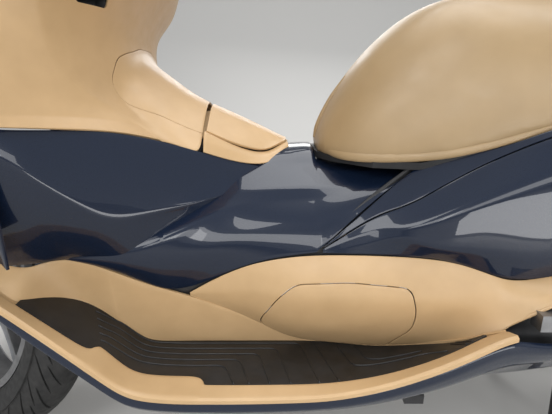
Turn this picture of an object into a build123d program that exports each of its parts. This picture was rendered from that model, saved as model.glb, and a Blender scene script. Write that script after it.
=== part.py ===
from build123d import *
from math import cos, radians, sin, sqrt
import os

# Motor scooter with a step-through body, a maxi scooter, in millimetres.
# While it is modelled, x is measured back from the front axle, y to the right and z up from the ground.
# The finished pieces are then moved along x so that the origin lies under the middle of the whole.

# Whole machine
ORIGIN_TO_FRONT_AXLE = -809.127
WHEELBASE = 1510.0
DRAWN_WHEELBASE = 1510.0
STRETCH_FROM = 440.0
STRETCH_TO = 1100.0
STAND_LIFT = 15.0
MOVE_GAP = 6.0
PANEL_T = 12.0

# Wheels and tyres
FRONT_TYRE_R = 274.5
FRONT_TYRE_W = 120.0
FRONT_RIM_R = 190.5
REAR_TYRE_R = 276.0
REAR_TYRE_W = 140.0
REAR_RIM_R = 177.8
HUB_R = 34.0
AXLE_R = 9.0
AXLE_CLEARANCE = 0.4
SPOKES = 5
SPOKE_W = 26.0
DISC_T = 5.0
FRONT_DISC_R = 130.0
REAR_DISC_R = 120.0
FRONT_DISC_Y = 58.0
REAR_DISC_Y = 84.0

# Steering
CASTER_DEG = 26.5
TRAIL = 89.0
STEER_REST_DEG = 35.0
FORK_LEG_Y = 90.0
FORK_TUBE_R = 16.5
FORK_SLIDER_R = 23.0
FORK_SLIDER_L = 300.0
FORK_L = 330.0
YOKE_T = 28.0
STEM_R = 15.0
HEAD_TUBE_R = 30.0
HEAD_TUBE_BORE = 16.0
HEAD_TUBE_START = 668.0
HEAD_TUBE_L = 150.0
BAR_R = 11.1
BAR_CLAMP_ALONG = 1150.0
GRIP_R = 17.0
MUDGUARD_GAP = 16.0
MUDGUARD_T = 4.0

# Floor and tunnel
FLOOR_Z = 262.0
FLOOR_T = 20.0
MAT_T = 5.0
FLOOR_Y = 300.0

# Seat and storage
SEAT_HINGE = (664.0, 592.0)
SEAT_BASE_T = 12.0
BOX_Y = 138.0
BOX_WALL = 5.0

STEER_AXIS = Axis(
    (-TRAIL, 0, 0), (sin(radians(CASTER_DEG)), 0, cos(radians(CASTER_DEG)))
)


def front_axle_height():
    """Height of the front axle at which the turned round-crowned tyre just stands on the ground."""
    turn = radians(STEER_REST_DEG)
    caster = radians(CASTER_DEG)
    crown = FRONT_TYRE_W / 2
    lean = sin(caster) * sin(turn)
    reach = (FRONT_TYRE_R - crown) * sqrt(1 - lean**2) + crown
    trail_part = TRAIL * sin(caster) * cos(caster) * (1 - cos(turn))
    return (reach - trail_part) / (cos(turn) + cos(caster) ** 2 * (1 - cos(turn)))


FRONT_AXLE_Z = front_axle_height()
REAR_AXLE_Z = REAR_TYRE_R + STAND_LIFT


def fore_aft(x):
    """An x of the drawings, moved with the rear axle: in full behind the footboards, in part over them."""
    share = min(max((x - STRETCH_FROM) / (STRETCH_TO - STRETCH_FROM), 0.0), 1.0)
    return x + share * (WHEELBASE - DRAWN_WHEELBASE)


def along_steer(distance, forward=0.0, y=0.0):
    """Point at a distance up the steering axis, and so far ahead of it."""
    c = radians(CASTER_DEG)
    x = -TRAIL + distance * sin(c) - forward * cos(c)
    return (x, y, distance * cos(c) + forward * sin(c))


def steered(shape):
    """Turn a straight-ahead piece of the steered assembly to its rest, at the right-hand stop."""
    return shape.rotate(STEER_AXIS, -STEER_REST_DEG)


def both(shape):
    """A left-hand piece and its mirror image on the right."""
    return Compound(list(shape.solids()) + list(mirror(shape, Plane.XZ).solids()))


def side_plate(points, y_from, y_to):
    """Solid with an outline of (x, z) points in side view, between two y values."""
    outline = Polyline(*[(fore_aft(x), y_from, z) for x, z in points], close=True)
    return extrude(make_face(outline), amount=y_to - y_from, dir=(0, 1, 0))


def plan_plate(points, z_from, z_to):
    """Solid with an outline of (x, y) points seen from above, between two heights."""
    outline = Polyline(*[(fore_aft(x), y, z_from) for x, y in points], close=True)
    return extrude(make_face(outline), amount=z_to - z_from, dir=(0, 0, 1))


def loft_along_x(stations):
    """Straight-ruled body through sections, each an x and a ring of (y, z) points."""
    faces = []
    for x, ring in stations:
        faces.append(make_face(Polyline(*[(fore_aft(x), y, z) for y, z in ring], close=True)))
    return loft(faces, ruled=True)


def loft_up_z(levels):
    """Straight-ruled body through plan sections, each a height and a ring of (x, y) points."""
    faces = [make_face(Polyline(*[(x, y, z) for x, y in ring], close=True)) for z, ring in levels]
    return loft(faces, ruled=True)


def mirrored_ring(half):
    """A ring of points from its left half, listed from top centre to bottom centre."""
    back = [(-y, z) for y, z in reversed(half) if y != 0]
    return half + back


def tube(points, radius, bend):
    """Round bar along straight runs joined by bends of one radius."""
    path = FilletPolyline(*points, radius=bend)
    return sweep(Plane(path @ 0, z_dir=path % 0) * Circle(radius), path=path)


def drawn(points):
    """Points of a drawing with their x moved with the rear axle."""
    return [(fore_aft(x), y, z) for x, y, z in points]


def rod(start, end, radius):
    """Straight round bar between two points."""
    line = Line(start, end)
    return extrude(Plane(start, z_dir=line % 0) * Circle(radius), amount=line.length)


def cross_cylinder(x, z, radius, y_from, y_to):
    """Cylinder lying across the machine."""
    return rod((x, y_from, z), (x, y_to, z), radius)


def write(name, shape):
    """Move a finished piece into the part's frame and write it."""
    export_step(Pos(ORIGIN_TO_FRONT_AXLE, 0, 0) * shape, f"parts/{name}.step")


# Wheels


def tyre(radius, width, rim_radius):
    """Round-crowned tyre around the y axis, with its bead bore on the rim."""
    crown = width / 2
    centre = radius - crown
    drop = centre - rim_radius
    half_bead = sqrt(crown**2 - drop**2)
    arc = ThreePointArc((rim_radius, half_bead), (radius, 0), (rim_radius, -half_bead))
    bead = Line((rim_radius, -half_bead), (rim_radius, half_bead))
    section = make_face([arc, bead])
    return revolve(section, Axis.Y)


def wheel_rim(radius, width, barrel_t, hub_half, disc_y):
    """Cast wheel: barrel with lips, straight spokes, bored hub and the disc's carrier."""
    barrel = Cylinder(radius, width) - Cylinder(radius - barrel_t, width + 2)
    for side in (-1, 1):
        lip = Cylinder(radius - 2, 8) - Cylinder(radius - barrel_t - 7, 9)
        barrel += Pos(0, 0, side * (width / 2 - 4)) * lip
    hub = Cylinder(HUB_R, 2 * hub_half)
    wheel = barrel + hub
    length = radius - barrel_t / 2 - HUB_R * 0.8
    for k in range(SPOKES):
        spoke = Pos(HUB_R * 0.8 + length / 2, 0, 0) * Box(length, SPOKE_W, 30)
        wheel += Rot(0, 0, 360 * k / SPOKES) * spoke
    wheel += Pos(0, 0, -disc_y + DISC_T / 2 + 5) * Cylinder(52, 10)
    if disc_y - DISC_T / 2 - 10 > hub_half:
        stretch = disc_y - DISC_T / 2 - hub_half
        wheel += Pos(0, 0, -hub_half - stretch / 2) * Cylinder(HUB_R, stretch)
    wheel -= Cylinder(AXLE_R + AXLE_CLEARANCE, 400)
    return Rot(90, 0, 0) * wheel


def brake_disc(radius, y):
    """Ring-shaped brake disc with a row of cooling holes."""
    disc = Cylinder(radius, DISC_T) - Cylinder(40, DISC_T + 2)
    disc -= PolarLocations(radius - 16, 12) * Cylinder(5, DISC_T + 2)
    return Pos(0, y, 0) * Rot(90, 0, 0) * disc


front_centre = Pos(0, 0, FRONT_AXLE_Z)
rear_centre = Pos(WHEELBASE, 0, REAR_AXLE_Z)
front_tyre = front_centre * tyre(FRONT_TYRE_R, FRONT_TYRE_W, FRONT_RIM_R)
rear_tyre = rear_centre * tyre(REAR_TYRE_R, REAR_TYRE_W, REAR_RIM_R)
front_rim = front_centre * wheel_rim(FRONT_RIM_R, 96, 9, 46, FRONT_DISC_Y)
rear_rim = rear_centre * wheel_rim(REAR_RIM_R, 112, 9, 50, REAR_DISC_Y)
front_disc = front_centre * brake_disc(FRONT_DISC_R, FRONT_DISC_Y)
rear_disc = rear_centre * brake_disc(REAR_DISC_R, REAR_DISC_Y)

# Fork, mudguard and handlebar, drawn straight ahead

axle_along = TRAIL * sin(radians(CASTER_DEG)) + FRONT_AXLE_Z * cos(radians(CASTER_DEG))
axle_ahead = FRONT_AXLE_Z * sin(radians(CASTER_DEG)) - TRAIL * cos(radians(CASTER_DEG))
yoke_along = axle_along + FORK_L
fork = cross_cylinder(0, FRONT_AXLE_Z, AXLE_R, -FORK_LEG_Y - 10, FORK_LEG_Y + 10)
for side in (-1, 1):
    leg_y = side * FORK_LEG_Y
    low = along_steer(axle_along - 24, axle_ahead, leg_y)
    slider_top = along_steer(axle_along + FORK_SLIDER_L - 60, axle_ahead, leg_y)
    tube_top = along_steer(yoke_along + YOKE_T, axle_ahead, leg_y)
    fork += rod(low, slider_top, FORK_SLIDER_R)
    fork += rod(slider_top, tube_top, FORK_TUBE_R)
yoke_plane = Plane(
    along_steer(yoke_along),
    x_dir=(-cos(radians(CASTER_DEG)), 0, sin(radians(CASTER_DEG))),
    z_dir=(sin(radians(CASTER_DEG)), 0, cos(radians(CASTER_DEG))),
)
yoke_shape = Pos(axle_ahead / 2, 0, YOKE_T / 2) * Box(axle_ahead + 60, 2 * FORK_LEG_Y + 50, YOKE_T)
fork += yoke_plane * yoke_shape
fork += rod(along_steer(yoke_along), along_steer(BAR_CLAMP_ALONG - 14), STEM_R)

mudguard_in = FRONT_TYRE_R + MUDGUARD_GAP
mudguard_half = FRONT_TYRE_W / 2 + 10
guard = Cylinder(mudguard_in + MUDGUARD_T, 2 * mudguard_half)
guard -= Cylinder(mudguard_in, 2 * mudguard_half - 2 * MUDGUARD_T)
guard -= Cylinder(mudguard_in - 46, 2 * mudguard_half + 10)
guard = Rot(90, 0, 0) * guard
keep = side_plate([(0, 0), (-330, 150), (-330, 400), (330, 400), (330, -20)], -100, 100)
guard = guard & keep
for side in (-1, 1):
    strut = Pos(0, side * (mudguard_half - 1), 0) * side_plate(
        [(78, 190), (98, 262), (170, 244), (142, 172)], -2, 2
    )
    guard += strut
front_mudguard = front_centre * guard - fork

caliper_at = Pos(-62, FRONT_DISC_Y, FRONT_AXLE_Z + 92)
caliper_body = caliper_at * Rot(0, -34, 0) * Box(46, 44, 96)
caliper_slot = Pos(0, FRONT_DISC_Y, FRONT_AXLE_Z) * Rot(90, 0, 0) * Cylinder(FRONT_DISC_R + 4, DISC_T + 4)
caliper_arm = Pos(-30, 83, FRONT_AXLE_Z + 76) * Box(70, 34, 30)
front_caliper = caliper_body - caliper_slot + caliper_arm - fork

clamp = along_steer(BAR_CLAMP_ALONG)
BAR_POINTS = [
    # x behind the clamp, y outward, height above the clamp
    (0, 0, 0),
    (4, 60, 8),
    (14, 150, 26),
    (92, 232, 22),
    (128, 356, 6),
]
left_bar = [(clamp[0] + x, -y, clamp[2] + z) for x, y, z in BAR_POINTS]
half_bar = tube(left_bar[1:], BAR_R, 36)
handlebar = half_bar + mirror(half_bar, Plane.XZ)
handlebar += rod(left_bar[1], (left_bar[1][0], -left_bar[1][1], left_bar[1][2]), BAR_R)
handlebar += rod(along_steer(BAR_CLAMP_ALONG - 22), along_steer(BAR_CLAMP_ALONG + 16), 24)
grip_start = Vector(*left_bar[3]) + (Vector(*left_bar[4]) - Vector(*left_bar[3])) * 0.12
grip_end = Vector(*left_bar[4])
left_grip = rod(grip_start, grip_end, GRIP_R)
lever_mount = Vector(*left_bar[3])
lever_root = lever_mount + Vector(-46, -8, 2)
lever_knee = lever_root + Vector(-10, -60, -4)
lever_tip = lever_root + Vector(34, -158, -18)
lever = tube([lever_root, lever_knee, lever_tip], 6, 40)
lever += rod(lever_mount, lever_root, 9)
lever += Sphere(9).moved(Location(lever_root))
handlebar += lever + mirror(lever, Plane.XZ)
handlebar -= fork
left_grip -= handlebar
grips = both(left_grip)

cover_half = [
    # x behind the clamp, y: the left half seen from above
    (-34, 0),
    (-26, -80),
    (-8, -132),
    (26, -132),
    (40, -70),
    (42, 0),
]
cover_ring = [(clamp[0] + x, y) for x, y in cover_half]
cover_ring += [(x, -y) for x, y in reversed(cover_ring) if y != 0]
cover_top_ring = [(clamp[0] + (x - clamp[0]) * 0.8, y * 0.86) for x, y in cover_ring]
handlebar_cover = loft_up_z(
    [(clamp[2] - 26, cover_top_ring), (clamp[2] + 20, cover_ring), (clamp[2] + 52, cover_top_ring)]
)
handlebar_cover -= handlebar
handlebar_cover -= fork

# Body envelope from the tunnel to the tail, cut into covers and panels below

ENVELOPE = [
    # x, top centre z, shoulder y z, crease y z, waist y z, foot y z
    (440, 575, 75, 560, 172, 480, 165, 380, 147, 262),
    (540, 592, 78, 572, 145, 516, 178, 420, 147, 262),
    (650, 600, 75, 571, 140, 525, 187, 447, 147, 262),
    (672, 568, 85, 566, 140, 528, 189, 449, 148, 262),
    (800, 566, 100, 565, 152, 550, 196, 450, 165, 275),
    (1010, 616, 172, 616, 200, 560, 214, 416, 206, 300),
    (1300, 728, 180, 728, 212, 640, 205, 530, 195, 505),
    (1740, 800, 84, 796, 110, 755, 100, 690, 90, 680),
]


def envelope(inset, spill=0.0):
    """The body's outer form, or the same form moved inward at its sides and past its top and foot."""
    stations = []
    for x, z0, y1, z1, y2, z2, y3, z3, y4, z4 in ENVELOPE:
        corners = ((y1, z1 + spill), (y2, z2), (y3, z3), (y4, z4 - spill))
        half = [(0, z0 + spill)]
        half += [(-(y - inset), z) for y, z in corners]
        half += [(0, z4 - spill)]
        stations.append((x, mirrored_ring(half)))
    return loft_along_x(stations)


BODY_WALL = 18.0
WIDE = 320.0
body = envelope(0)
inner = envelope(BODY_WALL, 30)

SEAM_A = [(670, 454), (715, 490), (765, 530), (805, 560), (850, 640)]
TAN_LINE = [
    (300, 372), (454, 369), (503, 402), (562, 433), (673, 451),
    (767, 452), (859, 449), (905, 437), (975, 412), (1028, 424),
]
SIDE_PANEL_END = 1095.0
ARCH_HALF = 78.0

above_tan = side_plate(
    TAN_LINE + [(SIDE_PANEL_END, 430), (1800, 470), (1800, 900), (300, 900)], -WIDE, WIDE
)
behind_seam = side_plate(
    [(670, 200)] + SEAM_A + [(850, 900), (1800, 900), (1800, 200)], -WIDE, WIDE
)
cavity = inner & side_plate([(846, 100), (846, 900), (1652, 900), (1690, 100)], -WIDE, WIDE)
arch_line = [(1100, 100), (1100, 720), (1690, 760), (1690, 100)]
covers = body & above_tan
rear_covers = (covers & behind_seam) - cavity - side_plate(arch_line, -ARCH_HALF, ARCH_HALF)
centre_cover = covers - behind_seam
side_panels = (body - above_tan) - envelope(PANEL_T, 30)
panel_side = [(440, 200), (440, 600), (SIDE_PANEL_END, 600), (SIDE_PANEL_END, 200)]
side_panels = side_panels & side_plate(panel_side, -WIDE, WIDE)

# Frame of steel tubes

RAIL_R = 12.0
FRAME_RAIL = [
    # x, y, z of the left main rail
    (234, -38, 638),
    (338, -70, 430),
    (395, -92, 214),
    (860, -92, 214),
    (960, -154, 330),
    (1030, -154, 470),
    (1280, -150, 600),
    (1600, -96, 700),
]
left_rail = tube(drawn(FRAME_RAIL), RAIL_R, 45)
frame = left_rail + mirror(left_rail, Plane.XZ)
frame += rod(along_steer(HEAD_TUBE_START), along_steer(HEAD_TUBE_START + HEAD_TUBE_L), HEAD_TUBE_R)
frame -= rod(
    along_steer(HEAD_TUBE_START - 60),
    along_steer(HEAD_TUBE_START + HEAD_TUBE_L + 60),
    HEAD_TUBE_BORE,
)
frame += cross_cylinder(234, 638, 12, -38, 38) - rod(
    along_steer(HEAD_TUBE_START - 60), along_steer(HEAD_TUBE_START + 100), HEAD_TUBE_BORE
)
for cross_x in (450, 820):
    bar_x = fore_aft(cross_x)
    frame += Pos(bar_x, 0, FLOOR_Z - FLOOR_T - 8) * Box(30, 2 * (FLOOR_Y - 42), 16)
    frame += both(Pos(bar_x, -92, 222) * Box(30, 20, 24))
frame += cross_cylinder(fore_aft(1006), 428, 8, -154, 154)
frame += cross_cylinder(fore_aft(1560), 687, 10, -105, 105)


def rail_at(x):
    """Height and half width of the frame's main rails at a drawn x behind the engine."""
    (x1, y1, z1), (x2, y2, z2) = FRAME_RAIL[-2:]
    share = (x - x1) / (x2 - x1)
    return z1 + share * (z2 - z1), -(y1 + share * (y2 - y1))

# Footboards, mats and lower cowls

FLOOR_LINE = [
    (170, 463), (229, 412), (304, 347), (385, FLOOR_Z + 6), (420, FLOOR_Z),
    (690, FLOOR_Z), (790, FLOOR_Z + 18), (880, FLOOR_Z + 56), (960, FLOOR_Z + 104),
]
floor_under = [(x, z - FLOOR_T) for x, z in reversed(FLOOR_LINE)]
FLOOR_PLAN = [
    (170, -FLOOR_Y + 12), (300, -FLOOR_Y), (800, -FLOOR_Y), (960, -FLOOR_Y + 22),
    (960, -120), (420, -120), (229, -150), (229, -228), (170, -240),
]
board = side_plate(FLOOR_LINE + floor_under, -FLOOR_Y - 10, -100)
board = board & plan_plate(FLOOR_PLAN, 100, 600)
left_board = board - body
mat_top = [(x, z + MAT_T) for x, z in FLOOR_LINE]
mat_solid = side_plate(mat_top + list(reversed(FLOOR_LINE)), -400, -100)
MAT_PLAN = [
    (240, -276), (330, -276), (345, -262), (490, -258), (500, -276), (690, -276), (800, -268),
    (880, -258), (930, -240), (905, -222), (800, -182), (700, -156), (470, -152), (372, -154),
    (300, -172), (250, -188),
]
left_mat = mat_solid & plan_plate(MAT_PLAN, 100, 600)
left_mat -= body
footboards = both(left_board)
floor_mats = both(left_mat)

COWL = [
    # x, top outer y, top z, bottom outer y, bottom z
    (260, -286, 364, -250, 344),
    (400, -292, 248, -215, 208),
    (700, -294, 248, -205, 200),
    (860, -286, 294, -210, 232),
    (1010, -262, 308, -222, 256),
]
COWL_T = 16.0
cowl_stations = []
for x, yt, zt, yb, zb in COWL:
    cowl_stations.append((x, [(yt, zt), (yb, zb), (yb + COWL_T, zb), (yt + COWL_T, zt)]))
left_cowl = loft_along_x(cowl_stations) - left_board - body
lower_cowls = both(left_cowl)

# Front wall: the inner leg shield above and the side fairings below, in one sweep of plan sections

FRONT_WALL = [
    # z, then x y of the rear surface from the wing edge to the middle
    (470, 262, 296, 300, 268, 350, 247, 395, 220, 512, 128, 512, 0),
    (545, 272, 296, 330, 255, 372, 220, 424, 183, 512, 130, 512, 0),
    (650, 268, 296, 309, 252, 355, 205, 405, 160, 440, 130, 445, 0),
    (710, 262, 296, 298, 250, 328, 200, 345, 140, 354, 90, 354, 0),
    (770, 258, 296, 290, 252, 318, 205, 342, 150, 370, 90, 374, 0),
    (835, 256, 296, 310, 266, 362, 226, 412, 160, 430, 95, 434, 0),
    (940, 250, 290, 302, 260, 360, 218, 420, 150, 448, 90, 452, 0),
]
WALL_FRONT_X = 60.0
WALL_T = 26.0


def front_wall_form():
    """Everything ahead of the rear surface of the front wall."""
    levels = []
    for z, *flat in FRONT_WALL:
        half = [(x, -y) for x, y in zip(flat[0::2], flat[1::2])]
        ring = [(WALL_FRONT_X, half[0][1])] + half
        levels.append((z, ring + [(x, -y) for x, y in reversed(ring) if y != 0]))
    return loft_up_z(levels)


wall_form = front_wall_form()
front_wall = wall_form - Pos(-WALL_T, 0, 0) * wall_form
TAN_LOW = [(150, 668), (270, 656), (355, 645), (411, 630), (475, 605), (560, 575)]
above_low = side_plate(TAN_LOW + [(560, 1000), (150, 1000)], -WIDE, WIDE)
tunnel_gap = side_plate([(300, 400), (300, 660), (440, 660), (560, 560), (560, 400)], -118, 118)
side_fairings = front_wall - above_low - body - tunnel_gap
leg_shield = front_wall & above_low

# Spine over the tunnel, its fuel lid and the filler cap

SPINE = [
    # x, top centre z, then y z of four points down the side
    (362, 760, 45, 755, 88, 738, 120, 700, 122, 640),
    (400, 737, 42, 730, 82, 705, 118, 660, 122, 610),
    (475, 678, 32, 668, 62, 652, 95, 626, 122, 604),
    (525, 655, 30, 648, 60, 630, 85, 608, 100, 585),
    (579, 628, 24, 623, 45, 608, 62, 588, 80, 571),
    (622, 608, 12, 606, 24, 604, 34, 601, 45, 596),
]
SPINE_FOOT_Z = 556.0
LID_SKIN = 9.0
LID_X = 484.0
LID_Z = 668.0
FILLER_X = 540.0
FILLER_R = 32.0
FILLER_GAP = 8.0


def spine_form(drop):
    """Solid form of the spine, lowered by a drop."""
    stations = []
    for x, z0, *flat in SPINE:
        half = [(0, z0 - drop)] + [(-y, z - drop) for y, z in zip(flat[0::2], flat[1::2])]
        half += [(half[-1][0], SPINE_FOOT_Z - drop), (0, SPINE_FOOT_Z - drop)]
        stations.append((x, mirrored_ring(half)))
    return loft_along_x(stations)


spine = spine_form(0)
LID_LINE = [(LID_X, 636), (525, 612), (575, 594), (596, 606), (640, 608)]
lid_zone = side_plate([(LID_X, 760)] + LID_LINE + [(640, 760)], -140, 140)
recess_line = [(x, z - MOVE_GAP) for x, z in LID_LINE]
recess_start = LID_X - MOVE_GAP
recess_zone = side_plate(
    [(recess_start, 760), (recess_start, 633)] + recess_line[1:] + [(640, 760)], -140, 140
)
fuel_lid = (spine & lid_zone) - spine_form(LID_SKIN)
recess = recess_zone - spine_form(LID_SKIN + MOVE_GAP)
spine_cover = spine - recess - body - wall_form - side_fairings
spine_cover -= Pos(fore_aft(FILLER_X), 0, 640) * Cylinder(FILLER_R + FILLER_GAP, 70)
fuel_cap = Pos(fore_aft(FILLER_X), 0, 611) * Cylinder(FILLER_R, 12)
fuel_cap += Pos(fore_aft(FILLER_X), 0, 618) * Box(2 * FILLER_R - 12, 12, 6)
LID_PIN = (fore_aft(LID_X + 3), LID_Z)
LID_PIN_R = 2.5
LID_LUG_Y = 8.0
fuel_lid -= Pos(LID_PIN[0] - 3, 0, LID_Z) * Box(24, 2 * LID_LUG_Y + 10, 60)
fuel_lid += cross_cylinder(*LID_PIN, LID_PIN_R, -26, 26)
spine_cover += Pos(LID_PIN[0] - 3, 0, LID_Z - 11) * Box(14, 2 * LID_LUG_Y, 28)
spine_cover -= cross_cylinder(*LID_PIN, LID_PIN_R + 0.4, -27, 27)

# Glove box on the left of the leg shield

GLOVE_A = Vector(316, -263, 848)
GLOVE_B = Vector(408, -166, 848)
GLOVE_H = 78.0
GLOVE_DEPTH = 80.0
glove_along = (GLOVE_B - GLOVE_A).normalized()
glove_out = Vector(glove_along.Y, -glove_along.X, 0)
glove_plane = Plane(GLOVE_A, x_dir=glove_along, z_dir=glove_out)
glove_w = (GLOVE_B - GLOVE_A).length


def glove_block(margin, depth_from, depth_to):
    """Upright block over the glove box opening, grown by a margin, between two depths."""
    depth = depth_to - depth_from
    middle = Pos(glove_w / 2, GLOVE_H / 2, depth_from + depth / 2)
    return glove_plane * (middle * Box(glove_w + 2 * margin, GLOVE_H + 2 * margin, depth))


# Nose fairing, lamps, screen and mirrors

NOSE = [
    # x, top centre z, shoulder y z, widest y z, lower y z, bottom y z
    (-75, 785, 38, 783, 72, 762, 70, 722, 52, 706),
    (20, 880, 95, 868, 178, 800, 172, 705, 130, 655),
    (130, 965, 150, 940, 255, 850, 256, 690, 225, 570),
    (258, 985, 190, 955, 302, 880, 306, 700, 302, 474),
]
NOSE_SKIN = 9.0


def nose_form(inset, open_from):
    """Outer form of the nose, or its hollow: inset, and open below from a station on."""
    stations = []
    for k, (x, z0, *flat) in enumerate(NOSE):
        points = list(zip(flat[0::2], flat[1::2]))
        half = [(0, z0 - inset)]
        half += [(-(y - inset), z - (inset if n == 0 else 0)) for n, (y, z) in enumerate(points)]
        foot = points[-1][1] if inset == 0 or k < open_from else 380
        if inset and k < open_from:
            foot += inset
        half[-1] = (half[-1][0], foot)
        half += [(0, foot)]
        shift = inset if k == 0 else 0
        end = 4 if inset and k == len(NOSE) - 1 else 0
        stations.append((x + shift + end, mirrored_ring(half)))
    return loft_along_x(stations)


nose_outer = nose_form(0, 0)
nose_inner = nose_form(NOSE_SKIN, 2)
nose_shell = nose_outer - nose_inner - front_wall
LAMP_FRONT = [(28, 752), (150, 778), (205, 842), (120, 846), (28, 800)]
INDICATOR_FRONT = [(176, 700), (262, 724), (262, 760), (176, 745)]


def front_prism(points, x_from, x_to):
    """Prism along x with an outline of (y, z) points seen from the front."""
    outline = Polyline(*[(x_from, -y, z) for y, z in points], close=True)
    return extrude(make_face(outline), amount=x_to - x_from, dir=(1, 0, 0))


lamp_prism = front_prism(LAMP_FRONT, -100, 110)
indicator_prism = front_prism(INDICATOR_FRONT, -100, 140)
nose_skin = nose_outer - nose_inner
headlamps = both(nose_skin & lamp_prism)
front_indicators = both(nose_skin & indicator_prism)
front_fairing = nose_shell - lamp_prism - mirror(lamp_prism, Plane.XZ)
front_fairing = front_fairing - indicator_prism - mirror(indicator_prism, Plane.XZ)

SCREEN = [
    # z, middle x, end x, end y
    (890, 62, 205, 200),
    (1180, 180, 262, 185),
    (1440, 318, 352, 110),
]
SCREEN_T = 5.0


def screen_section(z, middle_x, end_x, end_y, shift):
    """Bow-shaped plan section of the windscreen at one height."""
    front = ThreePointArc((end_x, -end_y, z), (middle_x, 0, z), (end_x, end_y, z))
    back = ThreePointArc(
        (end_x + shift, end_y, z), (middle_x + shift, 0, z), (end_x + shift, -end_y, z)
    )
    ends = [Line(front @ 1, back @ 0), Line(back @ 1, front @ 0)]
    return make_face([front, back] + ends)


windscreen = loft([screen_section(*row, SCREEN_T) for row in SCREEN], ruled=True) - nose_outer

dash_ring = [(150, -120), (200, -190), (285, -232), (350, -205), (410, -140), (436, -80)]
dash_ring += [(x, -y) for x, y in reversed(dash_ring)]
dash = plan_plate(dash_ring, 918, 930) & (Pos(-WALL_T, 0, 0) * wall_form)
dash -= rod(along_steer(900), along_steer(1150), 52)
pod = loft_along_x(
    [
        (150, mirrored_ring([(0, 1016), (-90, 1010), (-115, 990), (-120, 930), (0, 930)])),
        (264, mirrored_ring([(0, 988), (-90, 983), (-112, 965), (-118, 930), (0, 930)])),
    ]
)
dash = dash + pod
dash -= (nose_outer - nose_inner)

mirror_arm = tube([(165, -205, 905), (170, -235, 1010), (205, -285, 1098)], 9, 40)
mirror_shell = loft_along_x(
    [
        (178, [(-282, 1098), (-300, 1140), (-350, 1142), (-362, 1110), (-330, 1088)]),
        (212, [(-262, 1092), (-285, 1160), (-366, 1165), (-378, 1110), (-335, 1076)]),
        (228, [(-264, 1093), (-286, 1158), (-365, 1163), (-376, 1110), (-335, 1078)]),
    ]
)
mirrors = both(mirror_arm + mirror_shell - nose_outer)

INNER_COWL = [(262, 640), (296, 430), (340, 300), (352, 160)]
INNER_COWL_Y = 150.0
cowl_back = [(x + 5, z) for x, z in reversed(INNER_COWL)]
inner_cowl = side_plate(INNER_COWL + cowl_back, -INNER_COWL_Y, INNER_COWL_Y)
belly = side_plate([(352, 155), (352, 160), (930, 160), (930, 155)], -115, 115)
inner_cowl = inner_cowl + belly - frame - front_wall - lower_cowls

# Seat and its base

SEAT = [
    # x, top z, crown y z, side y z, hem y, foot z
    (674, 624, 34, 620, 52, 610, 56, 594),
    (700, 702, 42, 694, 78, 650, 92, 592),
    (760, 776, 62, 764, 122, 690, 145, 590),
    (830, 834, 84, 822, 152, 734, 163, 590),
    (945, 845, 102, 833, 175, 742, 180, 616),
    (1040, 842, 111, 830, 187, 752, 192, 650),
    (1125, 862, 115, 848, 188, 786, 192, 684),
    (1190, 922, 120, 908, 182, 845, 188, 710),
    (1400, 926, 126, 910, 176, 855, 182, 775),
    (1600, 908, 98, 896, 130, 866, 134, 812),
    (1655, 872, 60, 866, 84, 848, 88, 822),
]
seat_stations = []
base_stations = []
for x, z0, y1, z1, y2, z2, y3, z3 in SEAT:
    half = [(0, z0), (-y1, z1), (-y2, z2), (-y3, z3), (0, z3)]
    seat_stations.append((x, mirrored_ring(half)))
    low = z3 - SEAT_BASE_T
    ring = [(-y3 + 4, z3), (-y3 + 8, low), (y3 - 8, low), (y3 - 4, z3)]
    base_stations.append((x + 1 if x == SEAT[0][0] else x, ring))
seat = loft_along_x(seat_stations)
seat_base = loft_along_x(base_stations)
HINGE_PIN_R = 3.0
hinge = (fore_aft(SEAT_HINGE[0]), SEAT_HINGE[1])
seat_base += cross_cylinder(*hinge, 5.5, -28, 28)
seat_base += Pos(hinge[0] + 8, 0, hinge[1] - 6) * Box(16, 56, 6)
seat_base -= seat
centre_cover = centre_cover + both(Pos(hinge[0], -33, hinge[1] - 10) * Box(12, 6, 28))
centre_cover -= cross_cylinder(*hinge, HINGE_PIN_R + AXLE_CLEARANCE, -60, 60)
seat_base += cross_cylinder(*hinge, HINGE_PIN_R, -35, 35)

# Storage box under the seat

REAR_BAY_Y = 92.0
BOX_SIDE = [
    (850, 436), (1180, 436), (1180, 655), (1480, 655), (1480, 752), (1300, 705), (1010, 592),
    (850, 545),
]
BOX_IN = [(855, 441), (1175, 441), (1175, 660), (1475, 660), (1475, 800), (855, 800)]
storage_box = side_plate(BOX_SIDE, -BOX_Y, BOX_Y)
storage_box -= side_plate(BOX_IN, -BOX_Y + BOX_WALL, BOX_Y - BOX_WALL)
bay_cut = side_plate([(1180, 600), (1180, 800), (1500, 800), (1500, 600)], -BOX_Y - 1, -REAR_BAY_Y)
bay_wall = side_plate(BOX_SIDE[2:6] + [(1180, 658)], -REAR_BAY_Y, -REAR_BAY_Y + BOX_WALL)
storage_box -= bay_cut
storage_box -= mirror(bay_cut, Plane.XZ)
bay_wall = bay_wall - side_plate([(1100, 400), (1100, 900), (1180, 900), (1180, 400)], -200, 0)
storage_box = storage_box + bay_wall + mirror(bay_wall, Plane.XZ)

# Engine with its transmission case, the exhaust and the rear shocks

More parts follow.
